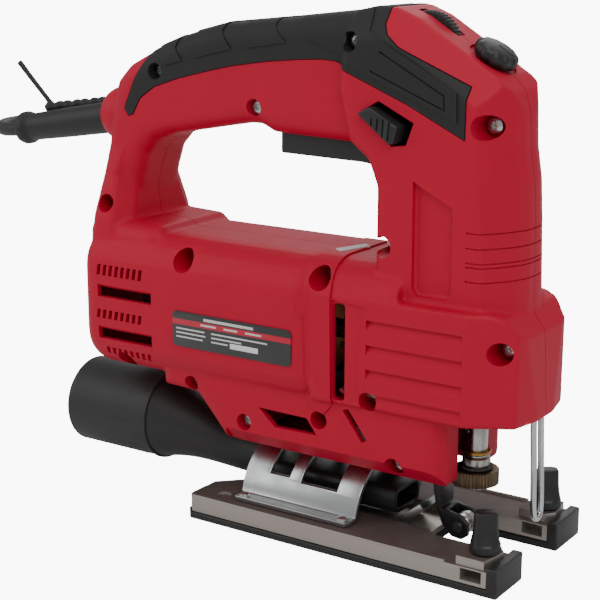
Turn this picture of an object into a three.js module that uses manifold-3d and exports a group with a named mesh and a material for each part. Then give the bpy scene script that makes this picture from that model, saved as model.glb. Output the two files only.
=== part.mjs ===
// Orbital jigsaw with a D handle, a tilting base and a dust tube, in millimetres.
// +X points to the blade end, +Y to the tool's left and +Z up.
// The origin is the middle of the sole's underside.
import * as THREE from "three";
import { mergeVertices } from "three/addons/utils/BufferGeometryUtils.js";
import Module from "manifold-3d";

const wasm = await Module();
wasm.setup();

// Overall sizes
const BASE_LENGTH = 150;
const BASE_WIDTH = 78;
const TOOL_HEIGHT = 218;
const NOSE_X = 75;
const REAR_X = -136;
// Clearances
const GAP = 0.3;
const RUNNING_GAP = 0.5;
// Housing
const WALL = 2.5;
const BARREL_HALF_WIDTH = 33;
const BARREL_FLOOR = 56.5;
const BARREL_TOP = 119.5;
const BARREL_CORNER = 17;
const CASE_HALF_WIDTH = 31;
const CASE_FLOOR = 62;
const CASE_TOP = 107;
const COLUMN_HALF_WIDTH = 24.5;
const HANDLE_HALF_WIDTH = 18.5;
const SKIRT_HALF_WIDTH = 28;
const SKIRT_FLOOR = 33.4;
const SKIRT_FRONT = 44;
const GRIP_THICKNESS = 1.2;
const GLAND_RADIUS = 12;
const BOOT_RADIUS = 7;
// Motor
const MOTOR_Z = 84;
const SHAFT_RADIUS = 4;
const CORE_RADIUS = 18;
const STATOR_RADIUS = 27;
const STATOR_REAR = -72;
const STATOR_LENGTH = 52;
const BEARING_RADIUS = 9;
const BEARING_WIDTH = 7;
const FAN_RADIUS = 23;
// Gears
const GEAR_MODULE = 0.8;
const PINION_TEETH = 8;
const GEAR_TEETH = 48;
const GEAR_WIDTH = 7;
const CRANK_RADIUS = 11.5;
const CRANK_PIN_RADIUS = 3;
// Plunger and blade clamp
const PLUNGER_X = 45.5;
const PLUNGER_RADIUS = 4.25;
const PLUNGER_FOOT = 42;
const PLUNGER_LENGTH = 116;
const CLAMP_RADIUS = 5.5;
const CLAMP_RING_RADIUS = 9.4;
const CLAMP_RING_HEIGHT = 6;
const CLAMP_WING_REACH = 11.5;
// Pendulum fork
const FORK_PIVOT_X = 31;
const FORK_PIVOT_Z = 50;
const ROLLER_X = 41;
const ROLLER_Z = 10.5;
const ROLLER_RADIUS = 4.4;
const FORK_HALF_WIDTH = 6;
const FORK_SLOT_HALF_WIDTH = 13.5;
const FORK_SLOT_REAR = 27;
// Base
const SOLE_THICKNESS = 3;
const PLATE_TOP = 10;
const RAIL_WIDTH = 23;
const BLADE_GAP_REAR = 30;
const TILT_AXIS_Z = 7;
const ARCH_RADIUS = 26;
const ARCH_THICKNESS = 2;
const ARCH_REAR = -53;
const ARCH_LENGTH = 57;
const RAIL_SCREW_X = 64.5;
// Dust extraction
const TUBE_RADIUS = 20;
const TUBE_WALL = 2.2;
const TUBE_Z = 28.8;
const TUBE_REAR = -158;
const TUBE_LENGTH = 46;
const DUCT_HALF_WIDTH = 10.5;
const DUCT_FLOOR = 11;
const DUCT_TOP = 22;
// Controls
const TRIGGER_HALF_WIDTH = 9;
const TRIGGER_REAR = -44;
const DIAL_RADIUS = 13.5;
const DIAL_WIDTH = 5;
const KNOB_RADIUS = 9.5;
const KNOB_SLOPE = 31;
// Fasteners
const SCREW_RADIUS = 1.75;
const SCREW_HEAD_RADIUS = 3.4;
const SCREW_BOSS_RADIUS = 5.4;
// Cord
const CORD_RADIUS = 3.25;
const COIL_CENTRE = new THREE.Vector2(-83, 101.5);
const COIL_TURNS = 4;
const COIL_LAYERS = 2;
const COIL_INNER_TURN = 30;

const degrees = THREE.MathUtils.degToRad;
const gearRadius = (GEAR_MODULE * GEAR_TEETH) / 2;
const pinionRadius = (GEAR_MODULE * PINION_TEETH) / 2;
const gearZ = MOTOR_Z + gearRadius + pinionRadius;
const halfGap = GAP / 2;

// ---------------------------------------------------------------- solids
function solid(geometry) {
  const bare = geometry.index ? geometry.toNonIndexed() : geometry;
  bare.deleteAttribute("normal");
  bare.deleteAttribute("uv");
  const welded = mergeVertices(bare, 1e-4);
  return new wasm.Manifold(new wasm.Mesh({
    numProp: 3,
    vertProperties: new Float32Array(welded.attributes.position.array),
    triVerts: new Uint32Array(welded.index.array),
  }));
}

function geometryOf(body) {
  const mesh = body.getMesh();
  const geometry = new THREE.BufferGeometry();
  geometry.setAttribute("position", new THREE.BufferAttribute(new Float32Array(mesh.vertProperties), 3));
  geometry.setIndex(new THREE.BufferAttribute(new Uint32Array(mesh.triVerts), 1));
  geometry.computeVertexNormals();
  return geometry;
}

function join(...bodies) {
  return bodies.flat().reduce((sum, body) => sum.add(body));
}

function cut(body, ...tools) {
  return tools.flat().reduce((rest, tool) => rest.subtract(tool), body);
}

function shapeOf(points) {
  if (points instanceof THREE.Shape) return points;
  return new THREE.Shape(points.map(([u, v]) => new THREE.Vector2(u, v)));
}

// An outline extruded for a length, shrunk all round by inset, with its two end edges rounded by bevel.
function extrusion(outline, length, { bevel = 0, inset = 0, segments = 1 } = {}) {
  const round = bevel > 0 ? Math.max(bevel - inset, 0.6) : 0;
  const depth = length - 2 * inset - 2 * round;
  const geometry = new THREE.ExtrudeGeometry(shapeOf(outline), {
    depth, steps: 1, curveSegments: 4, bevelEnabled: round > 0 || inset !== 0, bevelThickness: round,
    bevelSize: round, bevelOffset: -round - inset, bevelSegments: segments,
  });
  return geometry.translate(0, 0, inset + round);
}

// Side outline in X and Z, extruded across from -halfWidth to +halfWidth.
function across(outline, halfWidth, options) {
  return solid(extrusion(outline, 2 * halfWidth, options).rotateX(Math.PI / 2).translate(0, halfWidth, 0));
}

// Side outline in X and Z, extruded from y0 to y1.
function slab(outline, y0, y1, options) {
  return solid(extrusion(outline, y1 - y0, options).rotateX(Math.PI / 2).translate(0, y1, 0));
}

// Plan outline in X and Y, extruded from z0 to z1.
function upright(outline, z0, z1, options) {
  return solid(extrusion(outline, z1 - z0, options).translate(0, 0, z0));
}

// Cross-section in Y and Z, extruded from x0 to x1.
function lengthwise(outline, x0, x1, options) {
  const turn = new THREE.Matrix4().makeBasis(
    new THREE.Vector3(0, 1, 0), new THREE.Vector3(0, 0, 1), new THREE.Vector3(1, 0, 0));
  return solid(extrusion(outline, x1 - x0, options).applyMatrix4(turn).translate(x0, 0, 0));
}

function block(x0, x1, y0, y1, z0, z1) {
  const geometry = new THREE.BoxGeometry(x1 - x0, y1 - y0, z1 - z0);
  return solid(geometry.translate((x0 + x1) / 2, (y0 + y1) / 2, (z0 + z1) / 2));
}

// A turned piece about the line from start along direction; the profile lists [radius, distance].
function turned(profile, start, direction, sides = 20) {
  const geometry = new THREE.LatheGeometry(profile.map(([r, d]) => new THREE.Vector2(r, d)), sides);
  const aim = new THREE.Quaternion().setFromUnitVectors(new THREE.Vector3(0, 1, 0),
    direction.clone().normalize());
  return solid(geometry.applyQuaternion(aim).translate(start.x, start.y, start.z));
}

const X_AXIS = new THREE.Vector3(1, 0, 0);
const Y_AXIS = new THREE.Vector3(0, 1, 0);
const Z_AXIS = new THREE.Vector3(0, 0, 1);
const point = (x, y, z) => new THREE.Vector3(x, y, z);

function rod(start, direction, radius, length, sides = 16) {
  return turned([[0, 0], [radius, 0], [radius, length], [0, length]], start, direction, sides);
}

function collar(start, direction, innerRadius, outerRadius, length, sides = 20) {
  return turned([
    [innerRadius, 0], [outerRadius, 0], [outerRadius, length], [innerRadius, length], [innerRadius, 0],
  ], start, direction, sides);
}

function roundedRectangle(halfWidth, bottom, top, radius) {
  const shape = new THREE.Shape();
  shape.absarc(halfWidth - radius, bottom + radius, radius, -Math.PI / 2, 0);
  shape.absarc(halfWidth - radius, top - radius, radius, 0, Math.PI / 2);
  shape.absarc(-halfWidth + radius, top - radius, radius, Math.PI / 2, Math.PI);
  shape.absarc(-halfWidth + radius, bottom + radius, radius, Math.PI, 1.5 * Math.PI);
  return shape;
}

function mirrored(points) {
  return [...points, ...points.map(([x, y]) => [x, -y]).filter(([, y]) => y !== 0).reverse()];
}

// A tube along a route through the given points.
function tubeAlong(points, radius, steps, sides) {
  const section = new THREE.Shape();
  for (let i = 0; i < sides; i++) {
    const angle = (2 * Math.PI * i) / sides;
    const spot = [radius * Math.cos(angle), radius * Math.sin(angle)];
    if (i === 0) section.moveTo(...spot);
    else section.lineTo(...spot);
  }
  const route = new THREE.CatmullRomCurve3(points.map((p) => point(...p)), false, "centripetal");
  return solid(new THREE.ExtrudeGeometry(section, { steps, extrudePath: route, curveSegments: 1 }));
}

// ---------------------------------------------------------------- assembly
const jigsaw = new THREE.Group();
const finishes = {
  redShell: { color: 0xb92035, roughness: 0.5, metalness: 0 },
  blackRubber: { color: 0x30302e, roughness: 0.8, metalness: 0 },
  blackPlastic: { color: 0x262626, roughness: 0.55, metalness: 0 },
  zinc: { color: 0xaab0b0, roughness: 0.35, metalness: 1 },
  castAluminium: { color: 0xa09a92, roughness: 0.5, metalness: 1 },
  steel: { color: 0x9a9a98, roughness: 0.3, metalness: 1 },
  darkSteel: { color: 0x55504a, roughness: 0.4, metalness: 1 },
  bronze: { color: 0x7a6650, roughness: 0.45, metalness: 1 },
  copper: { color: 0xa5623a, roughness: 0.4, metalness: 1 },
  brass: { color: 0xc09a45, roughness: 0.3, metalness: 1 },
  chrome: { color: 0xd0d0d0, roughness: 0.15, metalness: 1 },
  label: { color: 0x202020, roughness: 0.4, metalness: 0 },
};

function place(name, body, finish) {
  const mesh = new THREE.Mesh(geometryOf(body), new THREE.MeshStandardMaterial(finishes[finish]));
  mesh.name = name;
  jigsaw.add(mesh);
}

// ---------------------------------------------------------------- housing outlines
const up = (drop) => TOOL_HEIGHT - drop;
const back = (ahead) => REAR_X + ahead;
const nose = (behind) => NOSE_X - behind;

// D handle with its rear column, side view.
const handleOutline = [
  [back(28), BARREL_FLOOR + 50], [back(23.4), up(90)], [back(24), up(80)], [back(27.5), up(68)],
  [back(34), up(59.5)], [back(52), up(54.5)], [-68, up(50)], [-54, up(48.5)], [-46, up(52.5)], [14, up(54)],
  [14, up(6)], [-2, up(2)], [-40, up(6.3)], [-67, up(9)], [back(49), up(14)], [back(32), up(20.5)],
  [back(17), up(28)], [back(10), up(35)], [back(5), up(55)], [back(1), up(92)],
  [back(0), BARREL_FLOOR + 50],
];
// Front column and head, side view.
const columnOutline = [
  [10, CASE_TOP - 28], [10, up(68)], [6, up(58)], [-3, up(51)], [-8, up(30)], [-3, up(2.2)], [7, up(0)],
  [13, up(0)],
  [22, up(3.5)], [nose(19), up(24.5)], [nose(15), up(30)], [nose(13), up(53)], [nose(8.5), up(68)],
  [nose(7), CASE_TOP - 3], [nose(7), CASE_TOP - 28],
];
const rearBlockOutline = [
  [back(0), 100], [back(0), 122], [back(5), 127], [back(36), 127], [back(46), 124], [back(50), 119],
  [back(50), 100],
];
const skirtOutline = [
  [-95.5, MOTOR_Z - 14], [-95.5, 52.3], [-77, 51.6], [-62, SKIRT_FLOOR + 1.5], [-58, SKIRT_FLOOR],
  [SKIRT_FRONT, SKIRT_FLOOR], [SKIRT_FRONT, MOTOR_Z - 14],
];
const casePlan = mirrored([
  [-14, CASE_HALF_WIDTH], [nose(21), CASE_HALF_WIDTH], [nose(3), 21], [nose(0), 7],
]);
const caseSide = [
  [-14, CASE_FLOOR], [nose(0), CASE_FLOOR], [nose(2), 97], [nose(8), CASE_TOP - 2], [nose(14), CASE_TOP],
  [-14, CASE_TOP],
];
const glandCentre = point(back(6), 0, up(52));
const bootDirection = point(-Math.cos(degrees(9.5)), 0, -Math.sin(degrees(9.5)));

// The whole housing as one solid, shrunk all round by inset.
function housingBody(inset) {
  const barrel = roundedRectangle(BARREL_HALF_WIDTH, BARREL_FLOOR, BARREL_TOP, BARREL_CORNER);
  const fanHood = roundedRectangle(CASE_HALF_WIDTH, BARREL_FLOOR, BARREL_TOP, BARREL_CORNER);
  const caseBody = upright(casePlan, CASE_FLOOR, CASE_TOP, { inset })
    .intersect(across(caseSide, CASE_HALF_WIDTH + 1, { inset }));
  return join(
    lengthwise(barrel, back(0), -12, { bevel: 10, inset }),
    lengthwise(fanHood, -30, 24, { inset }),
    across(handleOutline, HANDLE_HALF_WIDTH, { bevel: 8, inset }),
    across(columnOutline, COLUMN_HALF_WIDTH, { bevel: 7, inset }),
    across(rearBlockOutline, SKIRT_HALF_WIDTH, { bevel: 8, inset }),
    across(skirtOutline, SKIRT_HALF_WIDTH, { bevel: 7, inset }),
    caseBody,
    solid(new THREE.SphereGeometry(GLAND_RADIUS - inset, 12, 8).translate(glandCentre.x, 0, glandCentre.z)),
  );
}

// ---------------------------------------------------------------- housing screws
// Each screw goes across the tool; depth is how far its head sits from the middle plane.
const housingScrews = [
  { name: "handle_rear", x: back(34), z: up(30), depth: 12 },
  { name: "handle_front", x: -2, z: up(13), depth: 12 },
  { name: "handle_middle", x: -51, z: up(42), depth: 12 },
  { name: "head", x: nose(19.5), z: up(42), depth: 14 },
  { name: "rear_column", x: back(10.5), z: up(88), depth: 12 },
  { name: "barrel_rear", x: -79, z: 111, depth: 14 },
  { name: "barrel_front", x: -11.5, z: 112, depth: 14 },
  { name: "nose", x: nose(9), z: 92, depth: 14 },
  { name: "foot_rear", x: -50, z: 44.4, depth: 18 },
  { name: "foot_front", x: 22.4, z: 39, depth: 16 },
];
const screwReach = 9;

function screwBosses(body) {
  const posts = housingScrews.map(({ x, z }) => rod(point(x, -40, z), Y_AXIS, SCREW_BOSS_RADIUS, 80, 8));
  return join(posts).intersect(body);
}

function screwHoles() {
  return housingScrews.flatMap(({ x, z, depth }) => [
    rod(point(x, -60, z), Y_AXIS, SCREW_HEAD_RADIUS + 2 * GAP, 60 - depth, 10),
    rod(point(x, -depth - 1, z), Y_AXIS, SCREW_RADIUS + GAP, depth + 1 + screwReach, 6),
  ]);
}

for (const { name, x, z, depth } of housingScrews) {
  const headHeight = 2.2;
  const profile = [
    [0, 0], [SCREW_HEAD_RADIUS - 0.9, 0], [SCREW_HEAD_RADIUS, 0.9], [SCREW_HEAD_RADIUS, headHeight],
    [SCREW_RADIUS, headHeight], [SCREW_RADIUS, headHeight + depth + screwReach - 2],
    [0, headHeight + depth + screwReach - 2],
  ];
  place(`housing_screw_${name}`, turned(profile, point(x, -depth - headHeight - GAP, z), Y_AXIS, 8),
    "zinc");
}

// ---------------------------------------------------------------- housing halves and grips
const gripRegion = [
  [back(15), up(50)], [back(20.5), up(48.5)], [back(28), up(38)], [-72, up(28)], [-16.5, up(21)],
  [nose(26.7), up(47)],
  [nose(27.5), up(27.5)], [3, up(4)], [0, up(-4)], [back(30), up(-4)], [back(24), up(18)],
  [back(18.5), up(37)],
];
const dialCentre = point(19.5, 0, up(15.5));
const knobAxis = point(Math.sin(degrees(KNOB_SLOPE)), 0, Math.cos(degrees(KNOB_SLOPE)));
const knobSeat = point(nose(28.2), 0, up(19.4));
const triggerPivot = point(4, 0, up(52));
const lockButtonOutline = [[3.3, up(39.6)], [9, up(36.5)], [22, up(43.5)], [20, up(50.5)],
  [17.7, up(50.8)]];
const lockSlotOutline = [[2.8, up(39.6)], [11.5, up(34.6)], [27, up(42)], [23.8, up(50.8)],
  [17.5, up(51.6)]];
const orbitCentre = point(6, 0, 46);

function sideVents() {
  const rearSlots = [[MOTOR_Z + 6, MOTOR_Z + 11.5], [MOTOR_Z - 13, MOTOR_Z - 8]]
    .map(([z0, z1]) => block(back(9), back(39), -60, 60, z0, z1));
  const fanSlot = block(-4.5, 1, -60, 60, MOTOR_Z - 20.5, MOTOR_Z + 19.5);
  const chinSlot = slab([[-1, 58.5], [3, 58.5], [9, 47], [4.5, 47]], -60, 60);
  return [...rearSlots, fanSlot, chinSlot];
}

function innerWalls(body) {
  const bearingWall = cut(
    block(back(17), back(23), -60, 60, MOTOR_Z - 24, MOTOR_Z + 30),
    rod(point(back(10), 0, MOTOR_Z), X_AXIS, BEARING_RADIUS + GAP, 30),
  );
  const slotWalls = block(
    FORK_SLOT_REAR - WALL, 60, -FORK_SLOT_HALF_WIDTH - WALL, FORK_SLOT_HALF_WIDTH + WALL,
    20, CASE_FLOOR + WALL);
  return join(bearingWall, slotWalls).intersect(body);
}

const outer = housingBody(0);
const shell = join(cut(outer, housingBody(WALL)), screwBosses(outer), innerWalls(outer));
const gripRecess = cut(across(gripRegion, 40, { inset: -GAP }), housingBody(0.9));
const housing = cut(
  shell, gripRecess, screwHoles(), sideVents(),
  // slot for the pendulum fork, plunger passage and the wire guard's two holes
  block(FORK_SLOT_REAR, 60, -FORK_SLOT_HALF_WIDTH, FORK_SLOT_HALF_WIDTH, 20, CASE_FLOOR - 2),
  rod(point(PLUNGER_X, 0, 50), Z_AXIS, PLUNGER_RADIUS + 1.6, 20),
  rod(point(FORK_PIVOT_X, -20, FORK_PIVOT_Z), Y_AXIS, 2 + GAP, 40, 10),
  block(nose(5.6), nose(1.6), -5.4, 5.4, CASE_FLOOR - 5, CASE_FLOOR + 8),
  // trigger slot, speed dial slot, knob stem hole, lock button slot, orbit lever hole and cord gland
  block(TRIGGER_REAR - 2, 10, -TRIGGER_HALF_WIDTH - 0.8, TRIGGER_HALF_WIDTH + 0.8, up(70), up(44)),
  rod(point(dialCentre.x, -DIAL_WIDTH / 2 - RUNNING_GAP, dialCentre.z), Y_AXIS,
    DIAL_RADIUS + 0.8, DIAL_WIDTH + 2 * RUNNING_GAP, 28),
  rod(knobSeat.clone().addScaledVector(knobAxis, -12), knobAxis, 3 + RUNNING_GAP, 24),
  slab(lockSlotOutline, -40, 0),
  rod(point(orbitCentre.x, 8, orbitCentre.z), Y_AXIS, 4 + RUNNING_GAP, 40),
  rod(glandCentre, bootDirection, BOOT_RADIUS + GAP, 20),
  // bevel screw hole in the floor
  rod(point(-16, 0, 20), Z_AXIS, 3.2, 20, 12),
);
place("housing_right", cut(housing, block(-300, 300, -halfGap, 100, -10, 300)), "redShell");
place("housing_left", cut(housing, block(-300, 300, -100, halfGap, -10, 300)), "redShell");

const gripSkin = cut(
  across(gripRegion, 40).intersect(cut(housingBody(0.6 - GRIP_THICKNESS), housingBody(0.6))), screwHoles(),
  rod(point(dialCentre.x, -4, dialCentre.z), Y_AXIS, DIAL_RADIUS + 2, 8, 24),
);
place("grip_right", cut(gripSkin, block(-300, 300, -halfGap, 100, 0, 300)), "blackRubber");
place("grip_left", cut(gripSkin, block(-300, 300, -100, halfGap, 0, 300)), "blackRubber");

const labelOutline = new THREE.Shape();
labelOutline.absarc(-24.5, 76.4, 2, -Math.PI / 2, 0);
labelOutline.absarc(-24.5, 87.7, 2, 0, Math.PI / 2);
labelOutline.absarc(-81, 87.7, 2, Math.PI / 2, Math.PI);
labelOutline.absarc(-81, 76.4, 2, Math.PI, 1.5 * Math.PI);
place("rating_label", slab(labelOutline, -BARREL_HALF_WIDTH - GAP - 0.5, -BARREL_HALF_WIDTH - GAP),
  "label");

// ---------------------------------------------------------------- motor
const statorFront = STATOR_REAR + STATOR_LENGTH;
const bearingRearX = back(16.5);
const bulkheadX = 5;
const bulkheadThickness = 8;
const shaftRear = bearingRearX - 2;
const pinionX = bulkheadX + bulkheadThickness + 1.5;
const gearX = pinionX + 1;

place("motor_stator", collar(
  point(STATOR_REAR, 0, MOTOR_Z), X_AXIS, CORE_RADIUS + 1, STATOR_RADIUS, STATOR_LENGTH, 28), "darkSteel");
place("armature_shaft", turned([
  [0, 0], [SHAFT_RADIUS, 0], [SHAFT_RADIUS, pinionX - 1 - shaftRear], [1.6, pinionX - 1 - shaftRear],
  [1.6, pinionX + GEAR_WIDTH + 3 - shaftRear], [0, pinionX + GEAR_WIDTH + 3 - shaftRear],
], point(shaftRear, 0, MOTOR_Z), X_AXIS), "steel");
place("armature_core", collar(
  point(STATOR_REAR + 2, 0, MOTOR_Z), X_AXIS, SHAFT_RADIUS + GAP, CORE_RADIUS, STATOR_LENGTH - 4, 24),
    "copper");
place("commutator", collar(point(STATOR_REAR - 26, 0, MOTOR_Z), X_AXIS, SHAFT_RADIUS + GAP, 11, 14),
  "copper");

function fanBody() {
  const hub = turned([
    [SHAFT_RADIUS + GAP, 0], [FAN_RADIUS, 6], [FAN_RADIUS, 7.5], [10, 9], [SHAFT_RADIUS + GAP, 9],
    [SHAFT_RADIUS + GAP, 0],
  ], point(-5.5, 0, MOTOR_Z), X_AXIS, 24);
  const blades = [];
  for (let i = 0; i < 12; i++) {
    const turn = (2 * Math.PI * i) / 12;
    const blade = new THREE.BoxGeometry(7, 1.6, 11).translate(-2.6, 0, 16.5).rotateX(turn);
    blades.push(solid(blade.translate(0, 0, MOTOR_Z)));
  }
  return join(hub, blades);
}
place("motor_fan", fanBody(), "blackPlastic");
for (const [name, x] of [["rear", bearingRearX], ["front", bulkheadX]]) {
  const bearing = collar(point(x, 0, MOTOR_Z), X_AXIS, SHAFT_RADIUS + GAP, BEARING_RADIUS, BEARING_WIDTH);
  place(`bearing_${name}`, bearing, "steel");
}
for (const [side, sign] of [["right", -1], ["left", 1]]) {
  const [y0, y1] = sign > 0 ? [11.6, 29] : [-29, -11.6];
  const holder = block(STATOR_REAR - 24, STATOR_REAR - 14, y0, y1, MOTOR_Z - 4, MOTOR_Z + 4);
  place(`brush_holder_${side}`, holder, "brass");
}

// ---------------------------------------------------------------- gears
// A spur gear's outline with a tooth centred at the given angle.
function gearOutline(teeth, firstTooth) {
  const pitch = (GEAR_MODULE * teeth) / 2;
  const tip = pitch + 0.8 * GEAR_MODULE;
  const root = pitch - 1.1 * GEAR_MODULE;
  const step = (2 * Math.PI) / teeth;
  const points = [];
  for (let i = 0; i < teeth; i++) {
    const middle = firstTooth + i * step;
    for (const [radius, share] of [[root, -0.3], [tip, -0.1], [tip, 0.1], [root, 0.3]]) {
      points.push([radius * Math.cos(middle + share * step), radius * Math.sin(middle + share * step)]);
    }
  }
  return points;
}

const pinionMesh = lengthwise(gearOutline(PINION_TEETH, Math.PI / 2), pinionX, pinionX + GEAR_WIDTH + 2);
const pinionBore = rod(point(pinionX - 1, 0, 0), X_AXIS, 1.6 + GAP, 20, 10);
place("pinion", cut(pinionMesh, pinionBore).translate([0, 0, MOTOR_Z]), "steel");
const gearFirstTooth = -Math.PI / 2 + Math.PI / GEAR_TEETH;
const gearDisc = cut(
  lengthwise(gearOutline(GEAR_TEETH, gearFirstTooth), gearX, gearX + GEAR_WIDTH),
  rod(point(gearX - 1, 0, 0), X_AXIS, 4 + RUNNING_GAP, 20),
);
const yokeRear = gearX + GEAR_WIDTH + 8;
const crankPin = rod(point(gearX + GEAR_WIDTH - 1, CRANK_RADIUS, 0), X_AXIS,
  CRANK_PIN_RADIUS, yokeRear - RUNNING_GAP - gearX - GEAR_WIDTH + 1);
place("drive_gear", join(gearDisc, crankPin).translate([0, 0, gearZ]), "steel");
const axleLength = gearX + GEAR_WIDTH + 0.5 - bulkheadX;
place("gear_axle", rod(point(bulkheadX + 1, 0, gearZ), X_AXIS, 4, axleLength), "steel");

// ---------------------------------------------------------------- plunger, bushes and gear case
// The plunger's top still stands in the upper bush at the bottom of its stroke.
const upperBushZ = PLUNGER_FOOT + PLUNGER_LENGTH - CRANK_RADIUS - GAP - 0.2;
const lowerBushZ = CASE_FLOOR + WALL + 0.6;
const bushRadius = PLUNGER_RADIUS + 3;
const bushHeight = 6;
const yoke = cut(
  block(yokeRear, yokeRear + 5, -17, 17, gearZ - 7, gearZ + 7),
  block(
    yokeRear - 1, yokeRear + 6, -15, 15, gearZ - CRANK_PIN_RADIUS - 0.4, gearZ + CRANK_PIN_RADIUS + 0.4),
);
place("plunger", join(
  rod(point(PLUNGER_X, 0, PLUNGER_FOOT), Z_AXIS, PLUNGER_RADIUS, PLUNGER_LENGTH),
  yoke,
  block(yokeRear + 4, PLUNGER_X, -3.5, 3.5, gearZ - 7, gearZ + 7),
), "steel");
for (const [name, z] of [["upper", upperBushZ], ["lower", lowerBushZ]]) {
  const bush = collar(point(PLUNGER_X, 0, z), Z_AXIS, PLUNGER_RADIUS + GAP, bushRadius, bushHeight, 16);
  place(`plunger_bush_${name}`, bush, "bronze");
}
const armEnd = PLUNGER_X + bushRadius + 5;
const postHalfWidth = 10;
place("gear_case", cut(
  join(
    block(bulkheadX, bulkheadX + bulkheadThickness, -24, 24, lowerBushZ, CASE_TOP - 4),
    block(bulkheadX + 1, bulkheadX + bulkheadThickness, -15, 15, CASE_TOP - 5, gearZ + 9),
    block(armEnd - 3.4, armEnd, -postHalfWidth, postHalfWidth, lowerBushZ, upperBushZ + bushHeight),
    block(PLUNGER_X - bushRadius - 3, armEnd, -11, 11, upperBushZ, upperBushZ + bushHeight),
    block(bulkheadX + bulkheadThickness - 1, armEnd, -14, 14, lowerBushZ, lowerBushZ + bushHeight),
  ),
  rod(point(bulkheadX - 1, 0, MOTOR_Z), X_AXIS, BEARING_RADIUS + GAP, BEARING_WIDTH + 1.3),
  rod(point(bulkheadX - 1, 0, MOTOR_Z), X_AXIS, SHAFT_RADIUS + RUNNING_GAP, 20),
  rod(point(bulkheadX - 1, 0, gearZ), X_AXIS, 4 + GAP, 20),
  [upperBushZ, lowerBushZ].map((z) => rod(
    point(PLUNGER_X, 0, z - 1), Z_AXIS, bushRadius + GAP, bushHeight + 2)),
), "castAluminium");

// ---------------------------------------------------------------- blade clamp
const clampRingZ = PLUNGER_FOOT - 12.5;
const clampTop = PLUNGER_FOOT - GAP;
place("blade_clamp", cut(
  turned([
    [0, 0], [CLAMP_RADIUS, 0], [CLAMP_RADIUS, clampTop - clampRingZ + 2], [0, clampTop - clampRingZ + 2],
  ], point(PLUNGER_X, 0, clampRingZ - 2), Z_AXIS, 16),
  block(PLUNGER_X - 4.5, PLUNGER_X + 4.5, -0.9, 0.9, clampRingZ - 4, clampRingZ + 8),
), "steel");
const ringPlan = [];
for (let i = 0; i <= 24; i++) {
  const angle = -0.56 * Math.PI + (1.5 * Math.PI * i) / 24;
  ringPlan.push([CLAMP_RING_RADIUS * Math.cos(angle), CLAMP_RING_RADIUS * Math.sin(angle)]);
}
ringPlan.push([-CLAMP_WING_REACH, 1], [-CLAMP_WING_REACH, -5.5]);
place("clamp_ring", cut(
  upright(ringPlan, clampRingZ, clampRingZ + CLAMP_RING_HEIGHT).translate([PLUNGER_X, 0, 0]),
  rod(point(PLUNGER_X, 0, clampRingZ - 1), Z_AXIS, CLAMP_RADIUS + RUNNING_GAP, CLAMP_RING_HEIGHT + 2, 20),
), "bronze");
place("clamp_spring", collar(
  point(PLUNGER_X, 0, PLUNGER_FOOT + GAP), Z_AXIS, PLUNGER_RADIUS + GAP, PLUNGER_RADIUS + 1.6, 1.2, 20),
    "brass");

// ---------------------------------------------------------------- pendulum fork and roller
const forkSide = [
  [FORK_PIVOT_X - 2.8, FORK_PIVOT_Z + 5], [FORK_PIVOT_X + 3.2, FORK_PIVOT_Z + 5],
  [FORK_PIVOT_X + 3.2, FORK_PIVOT_Z - 1.8], [FORK_PIVOT_X + 1.7, FORK_PIVOT_Z - 3.5],
  [FORK_PIVOT_X + 1.7, 17.2],
  [ROLLER_X - 4, ROLLER_Z + 5.8], [ROLLER_X + 1, ROLLER_Z + 5], [ROLLER_X + 4.6, ROLLER_Z + 2],
  [ROLLER_X + 4.6, ROLLER_Z - 3], [ROLLER_X + 1.5, ROLLER_Z - 5.2], [ROLLER_X - 3, ROLLER_Z - 4.6],
  [ROLLER_X - 7.5, ROLLER_Z], [FORK_PIVOT_X - 0.6, 19], [FORK_PIVOT_X - 1.9, 27],
];
const cheekInner = FORK_HALF_WIDTH - 2;
place("pendulum_fork", cut(
  across(forkSide, FORK_HALF_WIDTH),
  block(ROLLER_X - ROLLER_RADIUS - 1, ROLLER_X + 12, -cheekInner, cheekInner, 0, 22),
  block(FORK_PIVOT_X - 8, ROLLER_X + 12, -cheekInner, cheekInner, 34, FORK_PIVOT_Z + 12),
  rod(point(FORK_PIVOT_X, -10, FORK_PIVOT_Z), Y_AXIS, 2 + GAP, 20, 10),
  rod(point(ROLLER_X, -10, ROLLER_Z), Y_AXIS, 1.5 + GAP, 20, 10),
), "blackPlastic");
const forkPinHalf = FORK_SLOT_HALF_WIDTH + 2;
place("fork_pin", rod(point(FORK_PIVOT_X, -forkPinHalf, FORK_PIVOT_Z), Y_AXIS, 2, 2 * forkPinHalf, 10),
  "steel");
const rollerHalf = cheekInner - 0.4;
place("guide_roller", turned([
  [1.5 + GAP, 0], [ROLLER_RADIUS, 0], [ROLLER_RADIUS, rollerHalf - 0.8],
  [ROLLER_RADIUS - 1, rollerHalf - 0.5],
  [ROLLER_RADIUS - 1, rollerHalf + 0.5], [ROLLER_RADIUS, rollerHalf + 0.8], [ROLLER_RADIUS, 2 * rollerHalf],
  [1.5 + GAP, 2 * rollerHalf], [1.5 + GAP, 0],
], point(ROLLER_X, -rollerHalf, ROLLER_Z), Y_AXIS, 16), "steel");
const rollerPinHalf = FORK_HALF_WIDTH + 0.4;
place("roller_pin", rod(point(ROLLER_X, -rollerPinHalf, ROLLER_Z), Y_AXIS, 1.5, 2 * rollerPinHalf, 10),
  "steel");
const leverArm = [[-5, -5], [5, -5], [5.5, 2], [3, 9.5], [-3, 9.5], [-5.5, 2]]
  .map(([u, v]) => [orbitCentre.x + u, orbitCentre.z - v]);
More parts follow.
